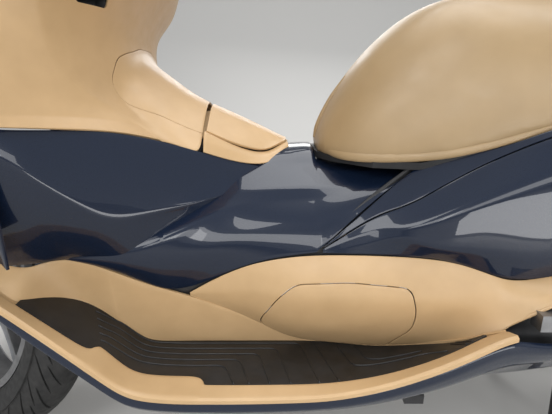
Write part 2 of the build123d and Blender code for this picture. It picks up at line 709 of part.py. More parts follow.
engine = side_plate(
    [(960, 240), (985, 420), (1170, 420), (1205, 360), (1205, 215), (1000, 215)], -105, 105
)
CASE_LINE = [
    (1138, 250), (1142, 385), (1200, 412), (1500, REAR_AXLE_Z + 81), (1575, REAR_AXLE_Z + 39),
    (1580, REAR_AXLE_Z - 29), (1520, REAR_AXLE_Z - 79), (1180, 205),
]
case_hull = side_plate(CASE_LINE, -205, -125)
case_neck = side_plate([(1145, 230), (1150, 380), (1195, 390), (1200, 230)], -126, -100)
engine_unit = engine + case_neck + case_hull
engine_unit += cross_cylinder(WHEELBASE, REAR_AXLE_Z, 40, -126, -78)
engine_unit += cross_cylinder(WHEELBASE, REAR_AXLE_Z, AXLE_R, -126, 142)
ARM_LINE = [
    (1215, 240), (1215, 300), (1240, 330), (1540, REAR_AXLE_Z + 34), (1545, REAR_AXLE_Z - 29),
    (1240, 230),
]
engine_unit += side_plate(ARM_LINE, 118, 134) + Pos(fore_aft(1205), 114, 270) * Box(60, 40, 60)

MUFFLER_R = 60.0
MUFFLER_Y = 224.0
muffler_from, muffler_to, tail_pipe_end = drawn(
    [(1335, MUFFLER_Y, 262), (1790, MUFFLER_Y, 372), (1828, MUFFLER_Y, 381)]
)
HEADER = [(1090, 60, 214), (1090, 130, 186), (1220, 190, 190), (1345, MUFFLER_Y, 264)]
exhaust = rod(muffler_from, muffler_to, MUFFLER_R) + tube(drawn(HEADER), 17, 40)
exhaust += rod(muffler_to, tail_pipe_end, 26)
exhaust += Pos(fore_aft(1400), 155, 296) * Box(30, 42, 24)
exhaust = exhaust - engine_unit

SHOCK_Y = 118.0
SHOCK_TOP_X = 1452.0
SHOCK_FOOT_X = 1536.0
SHOCK_BODY_R = 21.0
SHOCK_FEET = [(-1, REAR_AXLE_Z + 77), (1, REAR_AXLE_Z + 25)]
shocks = []
for side, low_z in SHOCK_FEET:
    low = Vector(fore_aft(SHOCK_FOOT_X), side * SHOCK_Y, low_z)
    top = Vector(fore_aft(SHOCK_TOP_X), side * SHOCK_Y, rail_at(SHOCK_TOP_X)[0] - 2)
    axis = (top - low).normalized()
    shock = rod(low, top, 9) + rod(low + axis * 50, top - axis * 45, SHOCK_BODY_R)
    shocks += list((shock - engine_unit - frame).solids())
shocks = Compound(shocks)

# Rear fender with plate bracket, tail lamp and grab rail

FENDER_GAP = 54.0
FENDER_T = 5.0
fender_r = REAR_TYRE_R + FENDER_GAP
fender = Cylinder(fender_r + FENDER_T, 180) - Cylinder(fender_r, 172)
fender = Pos(WHEELBASE, 0, REAR_AXLE_Z) * Rot(90, 0, 0) * fender
fender = fender & side_plate([(1180, 480), (1180, 650), (1800, 650), (1880, 470)], -100, 100)
BRACKET_LINE = [(1690, 690), (1722, 690), (1868, 480), (1850, 458), (1760, 505), (1690, 560)]
BRACKET_HOLLOW = [(1680, 676), (1714, 676), (1852, 480), (1850, 400), (1600, 400)]
bracket = side_plate(BRACKET_LINE, -78, 78) - side_plate(BRACKET_HOLLOW, -72, 72)
rear_fender = fender + bracket - rear_covers

tail_lamp_zone = side_plate([(1690, 700), (1690, 785), (1800, 785), (1800, 700)], -100, 100)
tail_lamp = rear_covers & tail_lamp_zone
rear_covers -= tail_lamp_zone

GRAB = [
    # x, y, z of the left half
    (1396, -186, 690),
    (1404, -208, 790),
    (1475, -212, 850),
    (1660, -172, 864),
    (1790, -74, 860),
]
GRAB_R = 11.0
grab_path = GRAB + [(x, -y, z) for x, y, z in reversed(GRAB)]
grab_rail = tube(drawn(grab_path), GRAB_R, 28)
RACK_X = 1734.0
RACK_Z = 860.0
RACK_T = 12.0
RACK_HOLES = (90, 100)
RACK_HOLE_R = 4.2
rack = Pos(2, 0, 0) * Box(118, 150, RACK_T) + both(Pos(-18, -46, -34) * Box(26, 14, 64))
grab_rail += Pos(fore_aft(RACK_X), 0, RACK_Z) * rack
for hole_at in GridLocations(*RACK_HOLES, 2, 2):
    grab_rail -= Pos(fore_aft(RACK_X), 0, RACK_Z) * hole_at * Cylinder(RACK_HOLE_R, 40)
grab_rail = grab_rail - rear_covers

# Stands and passenger pegs

STAND_PIVOT = (fore_aft(1180), 200.0)
STAND_FOOT_X = fore_aft(1146)
STAND_FOOT_Y = 164.0
STAND_BAR_DROP = 38.0
STAND_PIN_R = 6.0
leg_points = [(1180, -82, 200), (1168, -108, 60), (1150, -STAND_FOOT_Y + 4, 18)]
stand_leg = tube(drawn(leg_points), 12, 25)
centre_stand = stand_leg + mirror(stand_leg, Plane.XZ)
centre_stand += cross_cylinder(*STAND_PIVOT, 14, -98, 98)
centre_stand += cross_cylinder(STAND_PIVOT[0] - 4, STAND_PIVOT[1] - STAND_BAR_DROP, 8, -90, 90)
centre_stand += both(Pos(STAND_FOOT_X, -STAND_FOOT_Y, 6) * Box(56, 34, 12))
centre_stand += cross_cylinder(*STAND_PIVOT, STAND_PIN_R, -122, 122)
lug = side_plate([(1162, 186), (1162, 262), (1205, 262), (1198, 186)], -118, -105)
engine_unit = engine_unit + lug + mirror(lug, Plane.XZ)
engine_unit -= cross_cylinder(*STAND_PIVOT, STAND_PIN_R + AXLE_CLEARANCE, -130, 130)

SIDE_PIVOT = Vector(fore_aft(650), -152, 188)
SIDE_LEAN_DEG = 27.0
SIDE_AXIS = Vector(0, cos(radians(SIDE_LEAN_DEG)), -sin(radians(SIDE_LEAN_DEG)))
SIDE_PIN_R = 5.0
SIDE_FOOT = (806, -168, 184)
side_stand = tube([SIDE_PIVOT] + drawn([(740, -156, 188), (802, -168, 186)]), 10, 30)
side_stand += Pos(*drawn([SIDE_FOOT])[0]) * Box(40, 26, 12)
side_stand += rod(SIDE_PIVOT, SIDE_PIVOT + SIDE_AXIS * 44, SIDE_PIN_R)
side_pin_hole = rod(SIDE_PIVOT, SIDE_PIVOT + SIDE_AXIS * 60, SIDE_PIN_R + AXLE_CLEARANCE)
frame += Pos(SIDE_PIVOT.X, -118, 186) * Box(30, 44, 60)
frame -= side_pin_hole

PEG_HINGE_X = 1112.0
PEG_HINGE_Y = 254.0
PEG_Z = 372.0
PEG_L = 118.0
PEG_W = 26.0
PEG_PIN_R = 5.0
peg = Pos(-PEG_L / 2 - 4, 0, 0) * Box(PEG_L, PEG_W, PEG_W) + Cylinder(10, PEG_W)
peg += Cylinder(PEG_PIN_R, 56)
fork_arm = Pos(0, 48, 0) * Box(24, 100, 58) + Cylinder(13, 58)
fork_arm -= Pos(-12, -2, 0) * Box(80, PEG_W + 20, PEG_W + 10)
fork_arm -= Cylinder(PEG_PIN_R + AXLE_CLEARANCE, 80)
fork_arm += Pos(0, 96, 68) * Box(24, 12, 170)
peg_at = Pos(fore_aft(PEG_HINGE_X), -PEG_HINGE_Y, PEG_Z)
frame += both(peg_at * fork_arm)
peg_left = peg_at * peg
peg_right = mirror(peg_left, Plane.XZ)

# Glove box and its lid, and the service lids low on the tunnel

glove_lid = (front_wall & glove_block(0, -40, 40)) - Pos(-LID_SKIN, 0, 0) * wall_form
leg_shield -= glove_block(MOVE_GAP, -40, 40)
pocket = glove_block(MOVE_GAP + 3, -84, -12) - glove_block(MOVE_GAP, -81, 0)
leg_shield = leg_shield + (pocket - front_wall)
GLOVE_PIN_OUT = 9.0
GLOVE_PIN_R = 2.5
GLOVE_LUG = 10.0
glove_pin_start = GLOVE_A + glove_out * GLOVE_PIN_OUT - glove_along * GLOVE_LUG - Vector(0, 0, 1)
glove_pin_end = glove_pin_start + glove_along * (glove_w + 2 * GLOVE_LUG)
glove_pin = rod(glove_pin_start, glove_pin_end, GLOVE_PIN_R)
glove_lid += glove_pin + glove_plane * (Pos(glove_w / 2, 2, 4) * Box(60, 6, 12))
for s_middle in (-GLOVE_LUG + 2, glove_w + GLOVE_LUG - 2):
    leg_shield += glove_plane * (Pos(s_middle, -1, 0) * Box(5, 10, 24))
leg_shield -= rod(glove_pin_start - glove_along * 4, glove_pin_end + glove_along * 4, GLOVE_PIN_R + 0.4)
glove_lid -= leg_shield

SERVICE_LID_RISE = 3.0
SERVICE_LID = [
    (581, 331), (604, 371), (628, 398), (650, 404), (800, 404), (817, 389), (826, 357),
    (826, 327), (806, 300), (776, 274), (640, 292)
]
service_zone = side_plate(SERVICE_LID, -WIDE, -130)
service_plate = envelope(-SERVICE_LID_RISE) & service_zone
service_lids = both(service_plate - (body & service_zone) - left_board)

inner_cowl = inner_cowl - footboards - floor_mats - lower_cowls - frame
lower_cowls = lower_cowls - frame
front_fairing = front_fairing - leg_shield
dash -= glove_block(MOVE_GAP + 3, -84, 40)
dash = dash - leg_shield

PLATE = (150, 150, 3)
bracket_x, bracket_z = BRACKET_LINE[1]
bracket_end_x, bracket_end_z = BRACKET_LINE[2]
bracket_slope = (bracket_z - bracket_end_z, 0, bracket_end_x - bracket_x)
plate_plane = Plane((fore_aft(1795), 0, 585), x_dir=(0, 1, 0), z_dir=bracket_slope)
number_plate = plate_plane * (Pos(0, 0, PLATE[2] / 2) * Box(*PLATE))
number_plate -= rear_fender


def run():
    os.makedirs("parts", exist_ok=True)
    pieces = {
        "front_tyre": steered(front_tyre),
        "front_rim": steered(front_rim),
        "front_disc": steered(front_disc),
        "fork": steered(fork),
        "front_mudguard": steered(front_mudguard),
        "front_caliper": steered(front_caliper),
        "handlebar": steered(handlebar),
        "grips": steered(grips),
        "handlebar_cover": steered(handlebar_cover),
        "rear_tyre": rear_tyre,
        "rear_rim": rear_rim,
        "rear_disc": rear_disc,
        "centre_cover": centre_cover,
        "side_panels": side_panels,
        "rear_covers": rear_covers,
        "frame": frame,
        "footboards": footboards,
        "floor_mats": floor_mats,
        "lower_cowls": lower_cowls,
        "leg_shield": leg_shield,
        "side_fairings": side_fairings,
        "spine_cover": spine_cover,
        "fuel_lid": fuel_lid,
        "fuel_cap": fuel_cap,
        "front_fairing": front_fairing,
        "headlamps": headlamps,
        "front_indicators": front_indicators,
        "windscreen": windscreen,
        "dash": dash,
        "mirrors": mirrors,
        "inner_cowl": inner_cowl,
        "seat": seat,
        "seat_base": seat_base,
        "storage_box": storage_box,
        "engine_unit": engine_unit,
        "exhaust": exhaust,
        "shocks": shocks,
        "rear_fender": rear_fender,
        "tail_lamp": tail_lamp,
        "grab_rail": grab_rail,
        "centre_stand": centre_stand,
        "side_stand": side_stand,
        "peg_left": peg_left,
        "peg_right": peg_right,
        "glove_lid": glove_lid,
        "service_lids": service_lids,
        "number_plate": number_plate,
    }
    for name, shape in pieces.items():
        write(name, shape)


run()
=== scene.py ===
import math

import bmesh
import bpy
from mathutils import Matrix, Vector
from mathutils.bvhtree import BVHTree


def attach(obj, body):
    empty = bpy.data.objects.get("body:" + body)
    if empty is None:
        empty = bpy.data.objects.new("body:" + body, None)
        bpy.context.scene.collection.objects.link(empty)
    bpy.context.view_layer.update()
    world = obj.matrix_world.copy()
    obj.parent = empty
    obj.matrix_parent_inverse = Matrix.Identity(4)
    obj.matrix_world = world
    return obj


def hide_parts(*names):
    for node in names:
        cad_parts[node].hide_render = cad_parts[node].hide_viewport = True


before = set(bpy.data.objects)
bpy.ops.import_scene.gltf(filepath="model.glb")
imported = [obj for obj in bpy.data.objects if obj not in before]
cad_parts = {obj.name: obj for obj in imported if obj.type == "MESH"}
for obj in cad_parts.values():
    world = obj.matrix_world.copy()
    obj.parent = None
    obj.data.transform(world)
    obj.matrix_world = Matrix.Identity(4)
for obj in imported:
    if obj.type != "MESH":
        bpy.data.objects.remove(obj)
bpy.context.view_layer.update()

# Studio: a pale matte floor that runs up into a pale wall, three softboxes, and the camera at the rider's
# left, at knee height, looking down on the step-through. None of it belongs to the scooter.

CAMERA_AT = (-0.205, -0.80, 0.70)
CAMERA_PITCH_DEG = 15.8
CAMERA_LENS = 27.07

camera_data = bpy.data.cameras.new("camera")
camera = bpy.data.objects.new("camera", camera_data)
camera.location = CAMERA_AT
camera.rotation_euler = (math.radians(90 - CAMERA_PITCH_DEG), 0, 0)
camera_data.sensor_width = 36
camera_data.lens = CAMERA_LENS
camera_data.clip_start = 0.01
bpy.context.scene.collection.objects.link(camera)
bpy.context.scene.camera = camera
bpy.context.scene.view_settings.view_transform = "Standard"


def put(name, mesh):
    """A new object of this name around a mesh, linked into the scene."""
    made = bpy.data.objects.new(name, mesh)
    bpy.context.scene.collection.objects.link(made)
    return made


def pale_ground():
    """Matte pale grey ground with a faint mottle."""
    material = bpy.data.materials.new("pale_ground")
    material.use_nodes = True
    nodes, links = material.node_tree.nodes, material.node_tree.links
    shader = nodes["Principled BSDF"]
    shader.inputs["Roughness"].default_value = 0.9
    shader.inputs["Specular IOR Level"].default_value = 0.2
    mottle = nodes.new("ShaderNodeTexNoise")
    mottle.inputs["Scale"].default_value = 3.0
    ramp = nodes.new("ShaderNodeValToRGB")
    ramp.color_ramp.elements[0].color = (0.56, 0.55, 0.53, 1)
    ramp.color_ramp.elements[1].color = (0.62, 0.61, 0.59, 1)
    links.new(mottle.outputs["Fac"], ramp.inputs["Fac"])
    links.new(ramp.outputs["Color"], shader.inputs["Base Color"])
    return material


def studio_sweep():
    """Floor and wall in one sheet, with a wide round between them."""
    profile = [(-22.0, 0.0), (2.6, 0.0)]
    for step in range(1, 9):
        turn = math.pi / 2 * step / 8
        profile.append((2.6 + 1.6 * math.sin(turn), 1.6 - 1.6 * math.cos(turn)))
    profile.append((4.2, 16.0))
    mesh = bpy.data.meshes.new("floor")
    points = [(x, y, z) for y, z in profile for x in (-30, 30)]
    faces = [(2 * i, 2 * i + 1, 2 * i + 3, 2 * i + 2) for i in range(len(profile) - 1)]
    mesh.from_pydata(points, [], faces)
    mesh.shade_smooth()
    mesh.materials.append(pale_ground())
    return put("floor", mesh)


studio_sweep()

world = bpy.data.worlds.new("studio")
world.use_nodes = True
bpy.context.scene.world = world
world_nodes, world_links = world.node_tree.nodes, world.node_tree.links
SKY_LIGHT = 0.5
SKY_SEEN = 0.66
world_nodes["Background"].inputs["Color"].default_value = (0.93, 0.96, 1.0, 1)
ray = world_nodes.new("ShaderNodeLightPath")
seen = []
for kind in ("Is Camera Ray", "Is Glossy Ray", "Is Transmission Ray"):
    seen.append(ray.outputs[kind])
straight = world_nodes.new("ShaderNodeMath")
straight.operation = "MAXIMUM"
any_seen = world_nodes.new("ShaderNodeMath")
any_seen.operation = "MAXIMUM"
sky = world_nodes.new("ShaderNodeMapRange")
sky.inputs["To Min"].default_value = SKY_LIGHT
sky.inputs["To Max"].default_value = SKY_SEEN
world_links.new(seen[0], straight.inputs[0])
world_links.new(seen[1], straight.inputs[1])
world_links.new(straight.outputs[0], any_seen.inputs[0])
world_links.new(seen[2], any_seen.inputs[1])
world_links.new(any_seen.outputs[0], sky.inputs["Value"])
world_links.new(sky.outputs["Result"], world_nodes["Background"].inputs["Strength"])

SOFTBOXES = [
    # name, place, aim, width, height, watts
    ("key_softbox", (-1.7, -2.6, 3.0), (-0.2, 0.0, 0.4), 1.8, 1.8, 52),
    ("overhead_softbox", (0.5, 0.3, 3.6), (0.2, 0.0, 0.5), 3.4, 2.2, 90),
    ("side_softbox", (1.3, -3.3, 1.2), (0.4, 0.0, 0.5), 2.8, 0.8, 26),
    ("low_strip", (0.92, -1.62, 0.14), (0.2, -0.22, 0.5), 0.85, 0.26, 4.5),
    ("rider_softbox", (-0.35, -2.4, 1.05), (-0.2, -0.2, 0.5), 1.0, 0.7, 10),
    ("far_softbox", (0.4, 3.6, 2.2), (0.2, 0.0, 0.5), 2.6, 1.2, 36),
]
for name, place, aim, width, height, watts in SOFTBOXES:
    light = bpy.data.lights.new(name, "AREA")
    light.shape = "RECTANGLE"
    light.size, light.size_y = width, height
    light.energy = watts
    lamp = bpy.data.objects.new(name, light)
    lamp.visible_camera = False
    lamp.location = place
    lamp.rotation_euler = (Vector(aim) - Vector(place)).to_track_quat("-Z", "Y").to_euler()
    bpy.context.scene.collection.objects.link(lamp)

# Tunnel cover: one gloss-painted injection moulding over the frame and tank, clipped to the floor and
# standing between the rider's feet. A bright facet runs along its shoulder above a swelling side.

AXLE_BACK = 809.127  # the front axle is this far ahead of the origin, in mm


def at(x, y, z):
    """Point in metres from mm behind the front axle, mm to the left of the middle and mm above the ground."""
    return Vector(((x - AXLE_BACK) / 1000, -y / 1000, z / 1000))


def finished(made, levels=0, thickness=0.0, edge=0.0, angle=38):
    """Give a mesh its smoothness, wall and rounded edges, and keep the result as plain geometry."""
    if levels:
        smooth = made.modifiers.new("smooth", "SUBSURF")
        smooth.levels = smooth.render_levels = levels
        smooth.boundary_smooth = "PRESERVE_CORNERS"
    if thickness:
        wall = made.modifiers.new("wall", "SOLIDIFY")
        wall.thickness = thickness / 1000
        wall.offset = -1
        wall.use_even_offset = True
    if edge:
        rounding = made.modifiers.new("edge", "BEVEL")
        rounding.width = edge / 1000
        rounding.segments = 2
        rounding.limit_method = "ANGLE"
        rounding.angle_limit = math.radians(angle)
    done = bpy.data.meshes.new_from_object(made.evaluated_get(bpy.context.evaluated_depsgraph_get()))
    made.modifiers.clear()
    made.data = done
    made.data.shade_smooth()
    return made


def pull_in(rows, gaps):
    """Move the first and last row, and first and last column, of a grid inward by gaps in mm."""
    first, last, start, end = gaps
    rows = [[Vector(p) for p in row] for row in rows]
    for row_at, next_at, gap in ((0, 1, first), (-1, -2, last)):
        if gap:
            for k, p in enumerate(rows[row_at]):
                rows[row_at][k] = p + (rows[next_at][k] - p).normalized() * gap
    for row in rows:
        if start:
            row[0] = row[0] + (row[1] - row[0]).normalized() * start
        if end:
            row[-1] = row[-1] + (row[-2] - row[-1]).normalized() * end
    return rows


def shell(name, rows, folds=(), ribs=(), levels=3, wall=3.0, edge=1.0, gaps=(0, 0, 0, 0), whole=False, out=1,
          rib_from=0):
    """Moulded panel through rows of (x, y left, z) points in mm. folds are columns, and ribs rows, that stay
    crisp, each with how crisp; ribs begin rib_from columns away from the first. whole adds the mirrored half beyond the first column, at the middle. out is -1
    where the rows would face the panel inward."""
    rows = pull_in(rows, gaps)
    if whole:
        rows = [[Vector((p.x, -p.y, p.z)) for p in reversed(row[1:])] + row for row in rows]
    folds = dict(folds)
    middle = (len(rows[0]) - 1) // 2 if whole else 0
    if whole:
        folds = {middle + side * k: crisp for k, crisp in folds.items() for side in (-1, 1)}
    ribs = dict(ribs)
    across = len(rows[0])
    points = [at(*p) for row in rows for p in row]
    faces = []
    for i in range(len(rows) - 1):
        for j in range(across - 1):
            face = [i * across + j, i * across + j + 1, (i + 1) * across + j + 1, (i + 1) * across + j]
            faces.append(face if out > 0 else face[::-1])
    mesh = bpy.data.meshes.new(name)
    mesh.from_pydata(points, [], faces)
    crisp_edges = mesh.attributes.new("crease_edge", "FLOAT", "EDGE")
    for line in mesh.edges:
        (i1, j1), (i2, j2) = (divmod(v, across) for v in line.vertices)
        if j1 == j2 and j1 in folds:
            crisp_edges.data[line.index].value = folds[j1]
        elif i1 == i2 and i1 in ribs and min(abs(j1 - middle), abs(j2 - middle)) >= rib_from:
            crisp_edges.data[line.index].value = ribs[i1]
    return finished(put(name, mesh), levels, wall, edge)


def twin(left, name):
    """The right-hand piece, a mirror image of the left-hand one."""
    mesh = left.data.copy()
    mesh.transform(Matrix.Scale(-1, 4, (0, 1, 0)))
    mesh.flip_normals()
    return put(name, mesh)


def fit(made, body, material, slot, *stands_for):
    """Material, body and the CAD nodes that the piece stands for; the finish slot is not used."""
    made.data.materials.clear()
    made.data.materials.append(material)
    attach(made, body)
    if stands_for:
        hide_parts(*stands_for)
    return made


def wired(name, rough, metallic=0.0):
    """A new material with its nodes, links and shader, at this roughness."""
    material = bpy.data.materials.new(name)
    material.use_nodes = True
    shader = material.node_tree.nodes["Principled BSDF"]
    shader.inputs["Roughness"].default_value = rough
    shader.inputs["Metallic"].default_value = metallic
    return material, material.node_tree.nodes, material.node_tree.links, shader


def mottled(nodes, links, shader, dark, light, scale, detail=4.0):
    """Colour that wanders between two near shades, in patches of about 1/scale metres."""
    place = nodes.new("ShaderNodeTexCoord")
    noise = nodes.new("ShaderNodeTexNoise")
    noise.inputs["Scale"].default_value = scale
    noise.inputs["Detail"].default_value = detail
    ramp = nodes.new("ShaderNodeValToRGB")
    ramp.color_ramp.elements[0].position = 0.3
    ramp.color_ramp.elements[1].position = 0.7
    ramp.color_ramp.elements[0].color = (*dark, 1)
    ramp.color_ramp.elements[1].color = (*light, 1)
    links.new(place.outputs["Object"], noise.inputs["Vector"])
    links.new(noise.outputs["Fac"], ramp.inputs["Fac"])
    links.new(ramp.outputs["Color"], shader.inputs["Base Color"])
    return place


def rough_range(nodes, links, shader, place, scale, low, high):
    """Roughness that varies over the surface between two values."""
    noise = nodes.new("ShaderNodeTexNoise")
    noise.inputs["Scale"].default_value = scale
    noise.inputs["Detail"].default_value = 6.0
    spread = nodes.new("ShaderNodeMapRange")
    spread.inputs["From Min"].default_value = 0.35
    spread.inputs["From Max"].default_value = 0.65
    spread.inputs["To Min"].default_value = low
    spread.inputs["To Max"].default_value = high
    links.new(place.outputs["Object"], noise.inputs["Vector"])
    links.new(noise.outputs["Fac"], spread.inputs["Value"])
    links.new(spread.outputs["Result"], shader.inputs["Roughness"])


def grained(nodes, links, shader, place, scale, height, strength, cells=False):
    """Fine relief, in grains or leather-like cells, with the height in mm."""
    relief = nodes.new("ShaderNodeTexVoronoi" if cells else "ShaderNodeTexNoise")
    relief.inputs["Scale"].default_value = scale
    bump = nodes.new("ShaderNodeBump")
    bump.inputs["Strength"].default_value = strength
    bump.inputs["Distance"].default_value = height / 1000
    links.new(place.outputs["Object"], relief.inputs["Vector"])
    links.new(relief.outputs["Distance" if cells else "Fac"], bump.inputs["Height"])
    links.new(bump.outputs["Normal"], shader.inputs["Normal"])


def navy_paint():
    """Very dark blue paint with a fine metallic grain under a hard clear coat with a trace of orange peel."""
    material, nodes, links, shader = wired("navy_paint", 0.3)
    place = mottled(nodes, links, shader, (0.004, 0.008, 0.02), (0.007, 0.014, 0.034), 2200)
    rough_range(nodes, links, shader, place, 900, 0.26, 0.36)
    grained(nodes, links, shader, place, 320, 0.02, 0.06)
    shader.inputs["Specular IOR Level"].default_value = 0.12
    shader.inputs["Coat Weight"].default_value = 1.0
    shader.inputs["Coat Roughness"].default_value = 0.02
    shader.inputs["Coat IOR"].default_value = 1.42
    return material


navy = navy_paint()

TUNNEL = [
    # x, then y z from the middle: top, round, facet's upper edge, its lower edge, side's crease, swell, low edge
    (268, (0, 520), (50, 516), (90, 508), (140, 486), (197, 453), (200, 450), (200, 447)),
    (334, (0, 545), (50, 541), (90, 530), (140, 497), (200, 452), (201, 441), (189, 430)),
    (395, (0, 565), (50, 561), (85, 548), (132, 507), (197, 466), (199, 430), (174, 391)),
    (431, (0, 572), (50, 568), (80, 556), (129, 514), (189, 478), (194, 430), (168, 375)),
    (483, (0, 582), (45, 579), (76, 565), (127, 524), (169, 498), (186, 447), (169, 389)),
    (537, (0, 591), (45, 588), (76, 570), (128, 533), (147, 517), (179, 478), (179, 420)),
    (600, (0, 597), (45, 594), (76, 573), (128, 538), (141, 522), (179, 490), (186, 441)),
    (655, (0, 601), (45, 598), (76, 573), (128, 541), (141, 526), (180, 493), (189, 449)),
    (668, (0, 600), (45, 597), (77, 572), (128, 541), (141, 527), (180, 494), (190, 451)),
    (676, (0, 580), (45, 578), (80, 569), (128, 541), (141, 528), (178, 497), (189, 459)),
    (700, (0, 570), (50, 569), (90, 564), (128, 541), (142, 530), (168, 512), (183, 478)),
    (731, (0, 568), (55, 567), (95, 561), (128, 544), (143, 536), (161, 524), (175, 505)),
    (765, (0, 567), (55, 566), (95, 563), (126, 553), (141, 547), (153, 541), (164, 531)),
    (805, (0, 570), (50, 569), (95, 567), (120, 563), (133, 561), (140, 559), (147, 558)),
    (850, (0, 575), (40, 575), (80, 574), (110, 574), (122, 574), (128, 574), (132, 574)),
]
tunnel_rows = [[(x, y, z) for y, z in ring] for x, *ring in TUNNEL]
tunnel_cover = shell(
    "tunnel_cover", tunnel_rows, folds={2: 0.9, 3: 1.0, 4: 0.9}, ribs={8: 0.8, 9: 0.8},
    gaps=(0, 0, 0, 2.6), whole=True, out=-1,
)
fit(tunnel_cover, "body", navy, "gloss_body", "centre_cover")

# Rear side covers: gloss-painted mouldings over the storage box, clipped to the tunnel cover along a slanting
# joint. A groove and two crisp edges spring from one corner and run back to the tail.

REAR_COVER = [
    # x, then y z: top edge, groove, upper edge of the flank, lower edge of the flank, low edge
    (676, (188, 459), (188, 457), (189, 455), (189, 453), (190, 450)),
    (715, (181, 491), (185, 482), (188, 472), (190, 461), (192, 450)),
    (765, (164, 531), (180, 512), (190, 496), (195, 475), (195, 451)),
    (795, (152, 553), (184, 522), (206, 497), (208, 488), (197, 450)),
    (825, (147, 577), (186, 537), (213, 508), (214, 477), (198, 449)),
    (850, (148, 592), (184, 552), (216, 519), (217, 471), (200, 448)),
    (877, (158, 597), (182, 567), (218, 532), (219, 468), (202, 443)),
    (912, (168, 605), (183, 588), (220, 548), (220, 465), (206, 434)),
    (963, (180, 623), (189, 614), (222, 569), (222, 458), (212, 415)),
    (1010, (188, 645), (196, 636), (223, 587), (223, 454), (215, 419)),
    (1095, (190, 672), (198, 662), (223, 612), (220, 482), (213, 434)),
    (1190, (188, 700), (196, 691), (219, 641), (213, 540), (206, 482)),
    (1300, (182, 730), (190, 722), (212, 672), (204, 588), (196, 530)),
    (1480, (158, 768), (166, 761), (186, 722), (178, 664), (168, 618)),
    (1640, (118, 788), (126, 782), (144, 754), (138, 712), (128, 678)),
    (1700, (98, 792), (106, 787), (122, 764), (116, 722), (106, 690)),
]
rear_rows = [[(x, y, z) for y, z in ring] for x, *ring in REAR_COVER]
rear_cover_left = shell(
    "rear_cover_left", [row[1:] for row in rear_rows], folds={1: 0.95, 2: 0.8}, gaps=(2.2, 0, 1.2, 2.6), out=-1
)
tail_cover_left = shell("tail_cover_left", [row[:2] for row in rear_rows], gaps=(2.2, 0, 1.0, 1.2), out=-1)
for made in (rear_cover_left, tail_cover_left):
    fit(made, "body", navy, "gloss_body", "rear_covers")
    fit(twin(made, made.name.replace("left", "right")), "body", navy, "gloss_body", "rear_covers")

# Side fairings: gloss-painted mouldings below the leg shield, from its wing to the tunnel. A V-shaped edge
# parts the broad upper face from one that turns under to the footboard.

FAIRING = [
    # top edge, middle of the face, V edge, return, low edge against the footboard's ridge
    ((236, 295, 657), (236, 299, 645), (236, 301, 628), (226, 292, 540), (215, 240, 452)),
    ((252, 295, 657), (252, 298, 645), (255, 300, 628), (256, 286, 540), (258, 222, 449)),
    ((270, 286, 653), (272, 294, 640), (274, 297, 618), (276, 272, 528), (275, 202, 448)),
    ((309, 247, 650), (303, 268, 612), (308, 271, 574), (312, 248, 510), (312, 190, 438)),
    ((355, 205, 645), (343, 236, 592), (334, 252, 546), (345, 230, 500), (345, 186, 424)),
    ((411, 160, 630), (390, 202, 570), (364, 230, 514), (383, 212, 492), (392, 178, 400)),
    ((475, 125, 605), (450, 158, 562), (424, 184, 520), (430, 172, 500), (440, 160, 396)),
    ((526, 100, 585), (500, 122, 556), (474, 156, 524), (476, 148, 508), (484, 140, 420)),
    ((579, 80, 571), (552, 98, 552), (514, 131, 531), (516, 124, 522), (522, 116, 450)),
]
side_fairing_left = shell(
    "side_fairing_left", FAIRING, folds={2: 0.92}, gaps=(0, 0, 1.2, 0), out=1
)
fit(side_fairing_left, "body", navy, "gloss_body", "side_fairings")
fit(twin(side_fairing_left, "side_fairing_right"), "body", navy, "gloss_body", "side_fairings")

# Leg shield: satin tan moulding that closes the fairing towards the rider, with a wing on each side and a
# soft diagonal crease where the wing turns into the hollow for the knee.


def tan_satin():
    """Satin tan paint on plastic, with the fine spark-eroded grain of its mould."""
    material, nodes, links, shader = wired("tan_satin", 0.42)
    place = mottled(nodes, links, shader, (0.51, 0.338, 0.172), (0.555, 0.37, 0.192), 26)
    rough_range(nodes, links, shader, place, 60, 0.36, 0.46)
    grained(nodes, links, shader, place, 1500, 0.05, 0.12)
    return material


tan = tan_satin()

